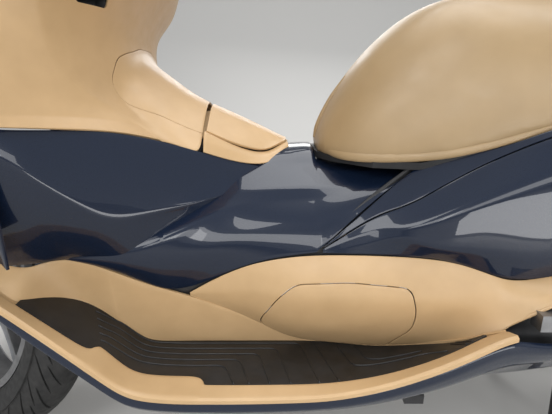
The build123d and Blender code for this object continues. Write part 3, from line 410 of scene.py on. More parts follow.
SHIELD = [
    # from the middle outward, (x, y, z): the joint at the fuel lid with the low edge, then heights above it
    ((480, 0, 676), (480, 31, 667), (480, 60, 651), (480, 94, 626), (480, 124, 598), (466, 126, 604),
     (450, 129, 609), (436, 132, 615), (420, 137, 620), (372, 188, 640), (320, 240, 647), (266, 298, 655)),
    ((450, 0, 690), (450, 35, 683), (449, 64, 668), (446, 92, 648), (440, 114, 634), (430, 121, 631),
     (418, 127, 632), (405, 134, 637), (390, 145, 644), (352, 190, 658), (308, 238, 665), (264, 294, 671)),
    ((420, 0, 711), (420, 39, 705), (418, 72, 690), (414, 102, 667), (406, 121, 650), (398, 127, 650),
     (388, 134, 653), (376, 146, 659), (359, 164, 668), (330, 204, 677), (298, 246, 682), (263, 294, 685)),
    ((398, 0, 727), (398, 41, 722), (395, 76, 706), (389, 106, 688), (380, 122, 674), (371, 131, 670),
     (362, 141, 676), (348, 162, 683), (338, 186, 690), (318, 218, 695), (290, 254, 698), (262, 294, 700)),
    ((376, 0, 743), (375, 42, 738), (373, 78, 726), (368, 106, 708), (361, 120, 696), (354, 131, 695),
     (346, 147, 700), (335, 178, 708), (321, 210, 713), (303, 237, 715), (282, 265, 716), (261, 294, 717)),
    ((360, 0, 764), (360, 42, 758), (358, 80, 748), (353, 106, 738), (348, 122, 732), (344, 136, 730),
     (339, 152, 734), (327, 186, 742), (306, 233, 748), (296, 248, 748), (280, 268, 748), (260, 294, 748)),
    ((365, 0, 800), (364, 42, 800), (360, 80, 800), (354, 108, 800), (347, 132, 800), (338, 158, 800),
     (329, 184, 799), (318, 214, 798), (309, 240, 797), (297, 254, 797), (281, 272, 797), (258, 294, 798)),
    ((388, 0, 838), (387, 45, 838), (386, 85, 838), (385, 115, 838), (383, 143, 838), (379, 172, 838),
     (365, 201, 838), (344, 234, 838), (318, 261, 838), (302, 271, 838), (285, 281, 838), (257, 294, 838)),
    ((420, 0, 885), (419, 45, 885), (414, 85, 885), (408, 118, 885), (401, 145, 885), (393, 173, 885),
     (380, 202, 885), (355, 235, 885), (321, 263, 885), (303, 273, 885), (284, 282, 885), (254, 293, 885)),
    ((453, 0, 938), (450, 45, 938), (444, 85, 938), (434, 117, 938), (420, 144, 938), (402, 174, 938),
     (384, 202, 938), (358, 234, 938), (318, 264, 938), (300, 273, 938), (282, 281, 938), (251, 290, 938)),
]
leg_shield = shell(
    "leg_shield", SHIELD, folds={1: 0.3, 8: 0.5}, ribs={1: 0.75}, gaps=(1.2, 0, 0, 0), whole=True, wall=4.0,
    rib_from=8
)

# Fuel lid's surround: two tan strips at the sides of the fuel lid, clipped to the filler tray below it.

LID_STRIP = [
    # x, then y z: under the lid, the lid's low edge, side, low edge
    (483, (70, 630), (104, 631), (113, 618), (120, 601)),
    (525, (60, 600), (85, 608), (93, 600), (101, 584)),
    (560, (45, 588), (70, 592), (79, 586), (88, 575)),
    (590, (35, 584), (50, 588), (62, 584), (73, 573)),
    (612, (20, 590), (32, 600), (44, 595), (54, 584)),
    (626, (0, 594), (16, 604), (26, 600), (34, 590)),
]
strip_rows = [[(x, y, z) for y, z in ring] for x, *ring in LID_STRIP]
strip_left = shell(
    "lid_surround_left", strip_rows, folds={1: 0.9, 2: 0.4}, gaps=(1.2, 0, 0, 0), out=-1, wall=3.0
)
fit(strip_left, "body", tan, "matte_tan", "spine_cover")
fit(twin(strip_left, "lid_surround_right"), "body", tan, "matte_tan", "spine_cover")

# Fuel lid: a tan flap hinged at its upper edge on the spine, with a rolled rim; it covers the screw cap of
# the filler neck.

FUEL_LID = [
    # x, then y z: middle, round, side, rim
    (485, (0, 673), (31, 664), (61, 649), (94, 630)),
    (500, (0, 666), (31, 658), (60, 643), (90, 623)),
    (525, (0, 655), (30, 648), (58, 632), (85, 611)),
    (555, (0, 641), (27, 635), (51, 620), (72, 599)),
    (585, (0, 626), (22, 621), (42, 606), (54, 592)),
    (606, (0, 615), (16, 612), (28, 606), (38, 601)),
    (621, (0, 608), (8, 607), (15, 606), (22, 605)),
]
lid_rows = [[(x, y, z) for y, z in ring] for x, *ring in FUEL_LID]
fuel_door = shell(
    "fuel_door", lid_rows, folds={1: 0.4}, gaps=(0.8, 0, 0, 0.6), whole=True, out=-1, wall=5.0, edge=1.2
)
fit(fuel_door, "fuel_lid", tan, "matte_tan", "fuel_lid")
GAP_DROP = 10
gap_rows = [[(x, y, z - GAP_DROP) for y, z in FUEL_LID[0][1:]] for x in (472, 481, 490)]
gap_flange = shell("lid_hinge_flange", gap_rows, whole=True, out=-1, wall=1.5, edge=0, levels=2)
fit(gap_flange, "body", tan, "matte_tan", "spine_cover")

# Side panels: satin tan mouldings below the painted covers, swelling out at the rider's ankle, with a soft
# crease along the swell. They run down to the footboard and back to the peg's recess.

SIDE_PANEL = [
    # x, then y z: top edge, upper swell, crease, lower face, low edge
    (460, (166, 374), (166, 372), (166, 371), (165, 369), (165, 367)),
    (503, (172, 402), (173, 390), (172, 376), (168, 362), (162, 348)),
    (562, (182, 433), (187, 410), (186, 385), (177, 350), (158, 321)),
    (625, (187, 446), (198, 418), (204, 386), (184, 325), (153, 280)),
    (673, (190, 451), (201, 420), (207, 384), (184, 316), (151, 272)),
    (767, (195, 452), (206, 422), (212, 380), (190, 308), (161, 267)),
    (859, (200, 448), (210, 418), (214, 378), (203, 322), (186, 290)),
    (905, (205, 437), (213, 408), (215, 376), (213, 335), (219, 313)),
    (940, (209, 424), (217, 402), (221, 378), (229, 350), (240, 340)),
    (962, (211, 416), (222, 404), (230, 388), (236, 370), (240, 356)),
    (990, (213, 415), (228, 408), (240, 398), (246, 388), (250, 380)),
    (1028, (215, 424), (232, 418), (244, 412), (250, 406), (252, 400)),
    (1095, (216, 433), (232, 430), (243, 425), (248, 420), (250, 415)),
]
panel_rows = [[(x, y, z) for y, z in ring] for x, *ring in SIDE_PANEL]
side_panel_left = shell(
    "side_panel_left", panel_rows, folds={2: 0.35}, gaps=(0, 0, 2.2, 0), out=-1, wall=3.0, edge=0
)

# Service lid in each side panel, over the battery and plug: cut from the same surface, held by clips, with a
# narrow joint around it.

SERVICE_LID = [
    (577, 318), (581, 331), (607, 377), (634, 404), (721, 409), (815, 402), (828, 357), (826, 322), (806, 296),
    (780, 240), (600, 240),
]
JOINT = 1.8


def rounded(corners, radius, steps=5):
    """Closed outline through corners, each taken off with a curve."""
    path = []
    for k, corner in enumerate(corners):
        corner, before, after = Vector(corner), Vector(corners[k - 1]), Vector(corners[(k + 1) % len(corners)])
        reach = min(radius, (before - corner).length / 2.1, (after - corner).length / 2.1)
        start = corner + (before - corner).normalized() * reach
        end = corner + (after - corner).normalized() * reach
        for step in range(steps + 1):
            t = step / steps
            path.append(start * (1 - t) ** 2 + corner * 2 * t * (1 - t) + end * t ** 2)
    return path


def grown(path, gap):
    """A closed outline moved outward by a gap."""
    area = sum(a.x * b.y - b.x * a.y for a, b in zip(path, path[1:] + path[:1]))
    side = 1 if area > 0 else -1
    moved = []
    for k, point in enumerate(path):
        along = (path[(k + 1) % len(path)] - path[k - 1]).normalized()
        moved.append(point + Vector((along.y, -along.x)) * gap * side)
    return moved


def closed_strip(name, rings):
    """Mesh through closed rings of points, and from the last ring back to the first."""
    across = len(rings[0])
    faces = []
    for r in range(len(rings)):
        for k in range(across):
            near, far = r * across, (r + 1) % len(rings) * across
            faces.append((near + k, near + (k + 1) % across, far + (k + 1) % across, far + k))
    mesh = bpy.data.meshes.new(name)
    mesh.from_pydata([p for ring in rings for p in ring], [], faces)
    shape = bmesh.new()
    shape.from_mesh(mesh)
    bmesh.ops.recalc_face_normals(shape, faces=shape.faces)
    shape.to_mesh(mesh)
    shape.free()
    return put(name, mesh)


def cut(made, cutter, operation="DIFFERENCE"):
    """Cut a piece with another mesh, and drop the cutter."""
    change = made.modifiers.new("cut", "BOOLEAN")
    change.operation = operation
    change.solver = "EXACT"
    change.object = cutter
    done = bpy.data.meshes.new_from_object(made.evaluated_get(bpy.context.evaluated_depsgraph_get()))
    made.modifiers.clear()
    made.data = done
    bpy.data.objects.remove(cutter)
    return made


def islands(made, names):
    """Part a mesh into its loose pieces, largest first, under these names; smaller crumbs are dropped."""
    made.name = "uncut"
    shape = bmesh.new()
    shape.from_mesh(made.data)
    seen, groups = set(), []
    for seed in shape.verts:
        if seed in seen:
            continue
        seen.add(seed)
        group, queue = [], [seed]
        while queue:
            vert = queue.pop()
            group.append(vert.index)
            for line in vert.link_edges:
                other = line.other_vert(vert)
                if other not in seen:
                    seen.add(other)
                    queue.append(other)
        groups.append(group)
    shape.free()
    groups.sort(key=len, reverse=True)
    parted = []
    for name, group in zip(names, groups):
        kept = set(group)
        part = bmesh.new()
        part.from_mesh(made.data)
        part.verts.ensure_lookup_table()
        bmesh.ops.delete(part, geom=[v for v in part.verts if v.index not in kept], context="VERTS")
        mesh = bpy.data.meshes.new(name)
        part.to_mesh(mesh)
        part.free()
        parted.append(put(name, mesh))
    bpy.data.objects.remove(made)
    return parted


lid_path = rounded(SERVICE_LID, 16)
rings = []
for gap, y in ((JOINT / 2, 100), (JOINT / 2, 320), (-JOINT / 2, 320), (-JOINT / 2, 100)):
    rings.append([at(p.x, y, p.y) for p in grown(lid_path, gap)])
cut(side_panel_left, closed_strip("joint", rings))
side_panel_left, service_lid_left = islands(side_panel_left, ("side_panel_left", "service_lid_left"))
for made in (side_panel_left, service_lid_left):
    finished(made, edge=0.6)
fit(side_panel_left, "body", tan, "matte_tan", "side_panels")
fit(twin(side_panel_left, "side_panel_right"), "body", tan, "matte_tan", "side_panels")
fit(service_lid_left, "body", tan, "matte_tan", "service_lids")
fit(twin(service_lid_left, "service_lid_right"), "body", tan, "matte_tan", "service_lids")

# Footboards: satin tan mouldings on the frame's cross bars. A ledge runs outside the mat, and inside it the
# board sweeps up as a wall to a ridge that falls back along the side panel.

FOOTBOARD = [
    # x, then y z: strip's foot, rim, ledge at the mat, mat's bed, bed's inner edge, lip, wall, ridge
    (172, (289, 462), (289, 467), (279, 459), (276, 456), (268, 456), (262, 457), (250, 459), (242, 460)),
    (200, (294, 438), (294, 443), (278, 435), (275, 432), (266, 432), (260, 434), (246, 442), (235, 450)),
    (222, (299, 419), (299, 424), (277, 416), (274, 412), (266, 411), (262, 415), (244, 430), (228, 442)),
    (232, (300, 411), (300, 416), (277, 408), (274, 403), (262, 401), (260, 406), (240, 424), (224, 441)),
    (243, (300, 402), (300, 407), (277, 399), (274, 394), (232, 391), (230, 397), (220, 417), (214, 444)),
    (258, (300, 389), (300, 394), (277, 387), (274, 382), (204, 377), (202, 384), (200, 407), (205, 447)),
    (278, (300, 372), (300, 377), (277, 371), (274, 366), (183, 361), (181, 369), (185, 394), (197, 446)),
    (304, (300, 349), (300, 354), (277, 350), (274, 345), (172, 341), (171, 349), (176, 374), (190, 438)),
    (331, (300, 325), (300, 330), (277, 330), (274, 325), (168, 314), (167, 322), (174, 348), (185, 424)),
    (335, (300, 321), (300, 326), (259, 327), (256, 322), (167, 311), (166, 318), (172, 345), (184, 422)),
    (341, (300, 316), (300, 321), (257, 322), (254, 317), (165, 306), (164, 314), (169, 340), (183, 419)),
    (372, (300, 288), (300, 293), (258, 288), (255, 283), (155, 268), (154, 276), (157, 300), (176, 402)),
    (400, (300, 270), (300, 275), (258, 274), (255, 267), (150, 261), (149, 268), (152, 282), (171, 388)),
    (459, (300, 265), (300, 270), (256, 271), (253, 264), (148, 261), (147, 268), (150, 276), (165, 366)),
    (489, (300, 265), (300, 270), (257, 271), (254, 264), (148, 261), (147, 268), (150, 275), (163, 354)),
    (493, (300, 265), (300, 270), (277, 272), (274, 265), (148, 261), (147, 268), (150, 275), (163, 352)),
    (500, (300, 265), (300, 270), (278, 272), (275, 265), (148, 261), (147, 268), (150, 274), (162, 349)),
    (562, (300, 265), (300, 270), (278, 272), (275, 266), (148, 261), (147, 268), (149, 274), (157, 321)),
    (631, (300, 267), (300, 272), (278, 273), (275, 267), (148, 261), (147, 268), (148, 272), (151, 280)),
    (690, (300, 270), (300, 275), (278, 275), (275, 269), (149, 261), (148, 268), (148, 270), (149, 274)),
    (771, (299, 288), (299, 293), (275, 287), (272, 281), (161, 256), (160, 263), (160, 265), (160, 270)),
    (850, (294, 316), (294, 321), (267, 310), (264, 304), (182, 275), (181, 282), (181, 284), (182, 290)),
    (900, (288, 338), (288, 343), (256, 327), (252, 321), (217, 300), (216, 306), (216, 308), (217, 314)),
    (926, (284, 349), (284, 354), (252, 340), (248, 335), (238, 329), (236, 332), (236, 334), (236, 338)),
    (950, (279, 353), (279, 358), (262, 352), (258, 350), (250, 346), (248, 347), (248, 349), (249, 352)),
]
board_rows = [[(x, y, z) for y, z in ring] for x, *ring in FOOTBOARD]
footboard_left = shell(
    "footboard_left", board_rows, folds={1: 0.72, 2: 0.8, 3: 0.6, 4: 0.6, 5: 0.7, 6: 0.3}, out=1, wall=4.0
)
fit(footboard_left, "body", tan, "matte_tan", "footboards")
fit(twin(footboard_left, "footboard_right"), "body", tan, "matte_tan", "footboards")

# Floor mats: black rubber mats moulded to lie in the board's recess, with raised ribs that run down the slope
# and along the board, turn outward one after another, and go on as slanting ribs to the tip.


def black_rubber():
    """Dull black rubber with a fine pebble, worn a little smoother in patches."""
    material, nodes, links, shader = wired("black_rubber", 0.5)
    place = mottled(nodes, links, shader, (0.006, 0.007, 0.008), (0.012, 0.013, 0.015), 40)
    rough_range(nodes, links, shader, place, 14, 0.34, 0.58)
    grained(nodes, links, shader, place, 900, 0.08, 0.25)
    return material


mat_rubber = black_rubber()
MAT_COLUMNS = 6
MAT_FIRST = 3
MAT_RISE = 4.4
mat_rows = []
for x, *ring in FOOTBOARD[MAT_FIRST:-1]:
    (y_out, z_out), (y_in, z_in) = ring[3], ring[4]
    row = []
    for k in range(MAT_COLUMNS + 1):
        t = k / MAT_COLUMNS
        row.append((x, y_out + (y_in - y_out) * t, z_out + (z_in - z_out) * t + MAT_RISE))
    mat_rows.append(row)
floor_mat = shell("floor_mat_left", mat_rows, gaps=(3, 1.0, 1.0, 1.0), out=1, wall=3.4, edge=0.9)


def surface_under(made):
    """Search tree of a mesh, for laying things on its surface."""
    mesh = made.data
    return BVHTree.FromPolygons([v.co for v in mesh.vertices], [tuple(f.vertices) for f in mesh.polygons])


def ridge_on(tree, path, width, height, ray):
    """Points and faces of a low rounded ridge along a path, laid on a surface by a ray; sizes in mm."""
    laid = []
    for spot in path:
        hit, normal, _, _ = tree.ray_cast(spot, ray)
        if hit is not None:
            laid.append((hit, normal if normal.dot(ray) < 0 else -normal))
    points, faces = [], []
    for k, (spot, normal) in enumerate(laid):
        ahead = laid[min(k + 1, len(laid) - 1)][0] - laid[max(k - 1, 0)][0]
        side = ahead.cross(normal).normalized() * width / 2000
        rise = normal * height / 1000
        sunk = normal * -0.0008
        points += [spot - side + sunk, spot - side * 0.55 + rise, spot + side * 0.55 + rise, spot + side + sunk]
        if k:
            start = 4 * (k - 1)
            faces += [(start + j, start + 4 + j, start + 5 + j, start + 1 + j) for j in range(3)]
            if k == 1:
                faces.append((0, 1, 2, 3))
            if k == len(laid) - 1:
                end = 4 * k
                faces.append((end + 3, end + 2, end + 1, end))
            faces.append((start + 3, start + 7, start + 4, start))
    return points, faces


def spread(corners, radius, step=6.0):
    """Open path through corners, rounded and evenly divided; 2-D points in mm."""
    corners = [Vector(c) for c in corners]
    path = [corners[0]]
    for before, corner, after in zip(corners, corners[1:], corners[2:]):
        reach = min(radius, (before - corner).length / 2.1, (after - corner).length / 2.1)
        start = corner + (before - corner).normalized() * reach
        end = corner + (after - corner).normalized() * reach
        path += [start * (1 - t) ** 2 + corner * 2 * t * (1 - t) + end * t ** 2 for t in (0, 0.25, 0.5, 0.75, 1)]
    path.append(corners[-1])
    even = [path[0]]
    for a, b in zip(path, path[1:]):
        count = max(1, round((b - a).length / step))
        even += [a.lerp(b, k / count) for k in range(1, count + 1)]
    return even


def added(made, parts):
    """Add loose parts, each of points and faces, to a piece's mesh."""
    shape = bmesh.new()
    shape.from_mesh(made.data)
    for points, faces in parts:
        verts = [shape.verts.new(p) for p in points]
        for face in faces:
            shape.faces.new([verts[k] for k in face]).smooth = True
    shape.to_mesh(made.data)
    shape.free()


mat_tree = surface_under(floor_mat)
RIB_PITCH = 16.0
RIB_FIRST_Y = 160.0
RIB_START_X = 306.0
RIB_TURNS = (646, 606, 576, 544, 522)
RIB_FALLS = (24, 21, 19, 20, 19)
ribs = []
for k, (turn_x, fall) in enumerate(zip(RIB_TURNS, RIB_FALLS)):
    y = RIB_FIRST_Y + RIB_PITCH * k
    start_y = y + 26 - 2.5 * k
    corners = [(RIB_START_X + 7 * k, start_y), (352 + 3 * k, y + 6), (400, y), (turn_x, y), (turn_x + fall, 273)]
    ribs.append(spread(corners, 14))
ribs += [
    spread([(672, 158), (700, 273)], 0), spread([(712, 168), (727, 232), (754, 236), (840, 232), (868, 246)], 10),
    spread([(742, 168), (752, 214), (768, 220), (840, 218)], 10),
    spread([(884, 220), (900, 252)], 0), spread([(893, 218), (909, 250)], 0),
]
DOWN = Vector((0, 0, -1))
laid = []
for rib in ribs:
    laid.append(ridge_on(mat_tree, [at(p.x, p.y, 600) for p in rib], 3.2, 1.1, DOWN))
added(floor_mat, laid)
fit(floor_mat, "body", mat_rubber, "mat_rubber", "floor_mats")
fit(twin(floor_mat, "floor_mat_right"), "body", mat_rubber, "mat_rubber", "floor_mats")

# Lower cowls: gloss navy mouldings that close each side below the footboard. A narrow strip stands under the
# board's rim, and below an edge the face turns in under the scooter.

LOWER_COWL = [
    # x, then y z: behind the rim, strip's top, strip's edge, upper face, lower face, bottom
    (180, (286, 455), (290, 453), (291, 443), (280, 436), (262, 428), (246, 424)),
    (236, (295, 406), (299, 404), (300, 394), (288, 385), (262, 375), (238, 370)),
    (268, (296, 379), (300, 377), (301, 366), (288, 356), (256, 344), (228, 338)),
    (304, (296, 347), (300, 345), (301, 334), (288, 323), (252, 310), (220, 302)),
    (341, (296, 315), (300, 313), (301, 302), (288, 290), (246, 274), (214, 264)),
    (372, (296, 287), (300, 285), (301, 274), (290, 260), (242, 240), (210, 230)),
    (400, (296, 269), (300, 267), (301, 257), (291, 245), (238, 222), (208, 212)),
    (470, (296, 264), (300, 262), (301, 252), (291, 240), (234, 214), (205, 202)),
    (560, (296, 264), (300, 262), (301, 252), (290, 239), (232, 211), (203, 199)),
    (690, (296, 269), (300, 267), (301, 257), (290, 243), (230, 213), (202, 201)),
    (771, (295, 287), (299, 285), (300, 276), (290, 258), (232, 226), (204, 214)),
    (850, (290, 315), (294, 313), (295, 303), (287, 280), (235, 246), (208, 232)),
    (900, (284, 337), (288, 335), (289, 325), (281, 298), (238, 262), (213, 244)),
    (940, (278, 350), (282, 348), (283, 338), (275, 309), (240, 275), (218, 251)),
    (962, (274, 347), (278, 345), (280, 336), (272, 312), (242, 280), (220, 256)),
    (1000, (264, 336), (269, 334), (271, 327), (265, 312), (244, 288), (225, 264)),
    (1060, (252, 330), (256, 328), (257, 322), (253, 312), (242, 296), (230, 280)),
]
cowl_rows = [[(x, y, z) for y, z in ring] for x, *ring in LOWER_COWL]
lower_cowl_left = shell(
    "lower_cowl_left", cowl_rows, folds={1: 0.8, 2: 0.9, 3: 0.4}, out=-1, levels=2
)
fit(lower_cowl_left, "body", navy, "gloss_body", "lower_cowls")
fit(twin(lower_cowl_left, "lower_cowl_right"), "body", navy, "gloss_body", "lower_cowls")

# Seat: moulded foam on a plastic pan under stretched vinyl. A roll is sewn round its foot, one seam crosses
# at the step up to the passenger, and the panels between the seams stand full.


def tan_vinyl():
    """Smooth seat vinyl with a faint leather grain and a soft sheen."""
    material, nodes, links, shader = wired("tan_vinyl", 0.42)
    place = mottled(nodes, links, shader, (0.345, 0.238, 0.124), (0.382, 0.265, 0.140), 18)
    rough_range(nodes, links, shader, place, 30, 0.36, 0.47)
    grained(nodes, links, shader, place, 620, 0.10, 0.22, cells=True)
    return material


vinyl = tan_vinyl()

SEAT_FORM = [
    # x, then y z: crown, shoulder, upper side, widest, roll, foot
    (677, (0, 620), (16, 620), (32, 618), (46, 614), (55, 609), (58, 603), (55, 595)),
    (687, (0, 648), (20, 647), (42, 642), (63, 632), (77, 618), (82, 604), (78, 592)),
    (703, (0, 682), (26, 680), (52, 672), (79, 652), (97, 628), (105, 602), (101, 590)),
    (730, (0, 724), (32, 722), (64, 712), (97, 685), (121, 643), (130, 603), (126, 589)),
    (760, (0, 762), (38, 760), (74, 748), (111, 714), (137, 660), (147, 605), (142, 590)),
    (796, (0, 797), (44, 795), (84, 782), (125, 744), (150, 682), (158, 608), (152, 592)),
    (833, (0, 826), (50, 824), (96, 810), (138, 768), (161, 698), (166, 612), (160, 595)),
    (870, (0, 844), (56, 842), (106, 829), (150, 784), (171, 712), (173, 617), (167, 600)),
    (910, (0, 850), (60, 849), (112, 839), (157, 795), (179, 724), (179, 627), (173, 610)),
    (960, (0, 847), (62, 847), (114, 840), (161, 800), (186, 736), (187, 643), (178, 625)),
    (1020, (0, 845), (64, 845), (116, 838), (163, 800), (189, 744), (191, 662), (183, 644)),
    (1090, (0, 850), (66, 850), (118, 842), (165, 806), (190, 756), (192, 687), (186, 669)),
    (1125, (0, 868), (66, 868), (117, 861), (164, 822), (190, 772), (192, 702), (186, 684)),
    (1165, (0, 910), (66, 909), (115, 899), (160, 862), (187, 808), (190, 728), (184, 709)),
    (1210, (0, 932), (68, 931), (114, 921), (156, 887), (182, 836), (187, 756), (182, 737)),
    (1300, (0, 937), (70, 936), (114, 925), (152, 893), (178, 848), (183, 788), (178, 770)),
    (1400, (0, 935), (68, 934), (108, 923), (144, 892), (169, 852), (175, 807), (170, 790)),
    (1500, (0, 929), (62, 928), (98, 917), (130, 890), (154, 856), (161, 820), (156, 804)),
    (1590, (0, 917), (54, 916), (84, 907), (110, 885), (129, 858), (136, 834), (131, 820)),
    (1636, (0, 896), (44, 895), (66, 888), (84, 874), (96, 858), (101, 842), (97, 832)),
    (1652, (0, 872), (38, 871), (54, 866), (66, 859), (74, 851), (77, 844), (74, 838)),
]


def cushion_form(name, rings, floor_drop=2.0):
    """Closed form through half rings (x, then y z from the middle down), with a flat underside."""
    rows = []
    for x, *half in rings:
        foot_y, foot_z = half[-1]
        under = [(foot_y * k, foot_z - floor_drop) for k in (0.8, 0.4, 0)]
        ring = half + under
        ring += [(-y, z) for y, z in reversed(ring[1:-1])]
        rows.append([at(x, y, z) for y, z in ring])
    across = len(rows[0])
    shape = bmesh.new()
    grid = [[shape.verts.new(p) for p in row] for row in rows]
    for a, b in zip(grid, grid[1:]):
        for j in range(across):
            k = (j + 1) % across
            shape.faces.new((a[j], b[j], b[k], a[k]))
    half_way = across // 2
    for ring, flip in ((grid[0], 1), (grid[-1], -1)):
        for j in range(half_way):
            corners = [ring[j], ring[j + 1], ring[across - j - 1], ring[(across - j) % across]]
            corners = list(dict.fromkeys(corners))
            if len(corners) > 2:
                shape.faces.new(corners[::flip])
    bmesh.ops.recalc_face_normals(shape, faces=shape.faces)
    mesh = bpy.data.meshes.new(name)
    shape.to_mesh(mesh)
    shape.free()
    return put(name, mesh)


STEP_X = 1138
ROLL_HIGH = 17
COVER_WEAVE = 8.0
COVER_PRESSURE = 4.0
COVER_CAP = 3.5
COVER_FRAMES = 20


def foot_line(drop):
    """Points (x, y left, z) once round the seat's foot, from the nose back along the left and home."""
    left = [(x, *half[-1]) for x, *half in SEAT_FORM]
    left = [(x, y, z + drop) for x, y, z in left]
    return [(left[0][0] - 2, 0, left[0][2])] + left + [(left[-1][0] + 2, 0, left[-1][2])]


def sewn_down(spot):
    """Whether a point of the cover is held: at the roll and below it, and along the cross seam."""
    x = spot.x * 1000 + AXLE_BACK
    heights = [(row[0], row[-1][1]) for row in SEAT_FORM]
    for (x1, z1), (x2, z2) in zip(heights, heights[1:]):
        if x1 <= x <= x2:
            foot = z1 + (z2 - z1) * (x - x1) / (x2 - x1)
            break
    else:
        return True
    return spot.z * 1000 < foot + ROLL_HIGH + 4 or abs(x - STEP_X) < 5


def stuffed(made, held):
    """Weave a cover of even faces over a form, and blow it up a little between its seams."""
    weave = made.modifiers.new("weave", "REMESH")
    weave.mode = "VOXEL"
    weave.voxel_size = COVER_WEAVE / 1000
    graph = bpy.context.evaluated_depsgraph_get
    made.data = bpy.data.meshes.new_from_object(made.evaluated_get(graph()))
    made.modifiers.clear()
    resting = [v.co.copy() for v in made.data.vertices]
    sewn = made.vertex_groups.new(name="sewn")
    sewn.add([k for k, spot in enumerate(resting) if held(spot)], 1.0, "REPLACE")
    cover = made.modifiers.new("cover", "CLOTH")
    cover.settings.vertex_group_mass = "sewn"
    cover.settings.use_pressure = True
    cover.settings.uniform_pressure_force = COVER_PRESSURE
    cover.settings.effector_weights.gravity = 0
    cover.point_cache.frame_end = COVER_FRAMES
    for step in range(1, COVER_FRAMES + 1):
        bpy.context.scene.frame_set(step)
    done = bpy.data.meshes.new_from_object(made.evaluated_get(graph()))
    bpy.context.scene.frame_set(1)
    made.modifiers.clear()
    made.vertex_groups.clear()
    for v, old in zip(done.vertices, resting):
        shift = v.co - old
        if shift.length > COVER_CAP / 1000:
            v.co = old + shift.normalized() * COVER_CAP / 1000
    made.data = done
    return finished(made, levels=1)


seat = finished(cushion_form("seat_cushion", SEAT_FORM), levels=2)
stuffed(seat, sewn_down)
seat_tree = surface_under(seat)


def spline_tube(name, points, radius, body_parts=12, turns=8):
    """Round bar along a smooth line through points (x, y left, z) in mm; radius may be one value per point."""
    knots = [at(*p) for p in points]
    radii = radius if isinstance(radius, (list, tuple)) else [radius] * len(points)
    line, sizes = [], []
    for k in range(len(knots) - 1):
        before = knots[max(k - 1, 0)]
        a, b = knots[k], knots[k + 1]
        after = knots[min(k + 2, len(knots) - 1)]
        for step in range(body_parts):
            t = step / body_parts
            spot = 0.5 * (2 * a + (b - before) * t + (2 * before - 5 * a + 4 * b - after) * t ** 2
                          + (3 * a - before - 3 * b + after) * t ** 3)
            line.append(spot)
            sizes.append(radii[k] + (radii[k + 1] - radii[k]) * t)
    line.append(knots[-1])
    sizes.append(radii[-1])
    ring_count = max(8, turns)
    points_out, faces = [], []
    normal = (line[1] - line[0]).orthogonal().normalized()
    for k, spot in enumerate(line):
        along = (line[min(k + 1, len(line) - 1)] - line[max(k - 1, 0)]).normalized()
        normal = (normal - along * normal.dot(along)).normalized()
        other = along.cross(normal)
        for j in range(ring_count):
            turn = 2 * math.pi * j / ring_count
            points_out.append(spot + (normal * math.cos(turn) + other * math.sin(turn)) * (sizes[k] / 1000))
        if k:
            a, b = (k - 1) * ring_count, k * ring_count
            for j in range(ring_count):
                i = (j + 1) % ring_count
                faces.append((a + j, a + i, b + i, b + j))
    faces.append(tuple(range(ring_count))[::-1])
    faces.append(tuple((len(line) - 1) * ring_count + j for j in range(ring_count)))
    mesh = bpy.data.meshes.new(name)
    mesh.from_pydata(points_out, [], faces)
    mesh.shade_smooth()
    return put(name, mesh)


def laid_on(tree, points, sunk):
    """The points moved to the nearest place on a surface, then inward by an amount in mm, as (x, y, z)."""
    placed = []
    for p in points:
        spot, normal, _, _ = tree.find_nearest(at(*p))
        spot = spot - normal * (sunk / 1000)
        placed.append((spot.x * 1000 + AXLE_BACK, -spot.y * 1000, spot.z * 1000))
    return placed


ROLL_SECTION = [(-1.0, 3.0), (-0.85, 5.6), (-0.3, 7.6), (0.3, 7.4), (0.8, 5.4), (1.0, 2.4), (0.9, -6), (-0.9, -6)]
roll_rows = []
for k, (x, y, z) in enumerate(foot_line(0)):
    middle_z = z + ROLL_HIGH / 2 - 3
    outward = Vector((0, 1, 0))
    if k < 5:
        outward = Vector((-1, 0.25 * k, 0)).normalized()
    elif x > 1590:
        outward = Vector((1, 0.6, 0)).normalized() if y else Vector((1, 0, 0))
    tuck, lift = (9.5, 4) if k < 3 else (5, 0)
    roll_rows.append([(x + outward.x * (o - tuck), y + outward.y * (o - tuck), middle_z + lift + h * ROLL_HIGH / 2)
                      for h, o in ROLL_SECTION + ROLL_SECTION[:1]])
seat_roll = shell("seat_roll_left", roll_rows, levels=2, wall=0, edge=0, out=1)
fit(seat_roll, "seat", vinyl, "seat_cover")
fit(twin(seat_roll, "seat_roll_right"), "seat", vinyl, "seat_cover")
fit(seat, "seat", vinyl, "seat_cover", "seat")
step_line = [(STEP_X, y, z) for y, z in ((189, 704), (191, 740), (189, 775), (178, 812), (160, 838), (134, 862),
                                        (100, 880), (60, 888), (0, 890))]
step_line += [(x, -y, z) for x, y, z in reversed(step_line[:-1])]
step_piping = spline_tube("step_piping", laid_on(seat_tree, step_line, 0.6), 2.6, body_parts=6, turns=10)
fit(step_piping, "seat", vinyl, "seat_cover")
nose_line = [(678, 0, 612), (683, 0, 632), (694, 0, 658), (708, 0, 690), (732, 0, 724)]
nose_welt = spline_tube("nose_welt", laid_on(seat_tree, nose_line, 0.5), [3.6, 5.0, 5.2, 4.6, 2.0], body_parts=8, turns=12)
fit(nose_welt, "seat", vinyl, "seat_cover")

# Nose fairing: one gloss-painted moulding round the steering head, cut out for the lamps and indicators,
# which are clear mouldings that carry on its surface.


def black_plastic():
    """Grained black plastic, a little greyed."""
    material, nodes, links, shader = wired("black_plastic", 0.5)
    place = mottled(nodes, links, shader, (0.012, 0.012, 0.013), (0.022, 0.022, 0.023), 30)
    rough_range(nodes, links, shader, place, 80, 0.42, 0.56)
    grained(nodes, links, shader, place, 1300, 0.06, 0.2)
    return material


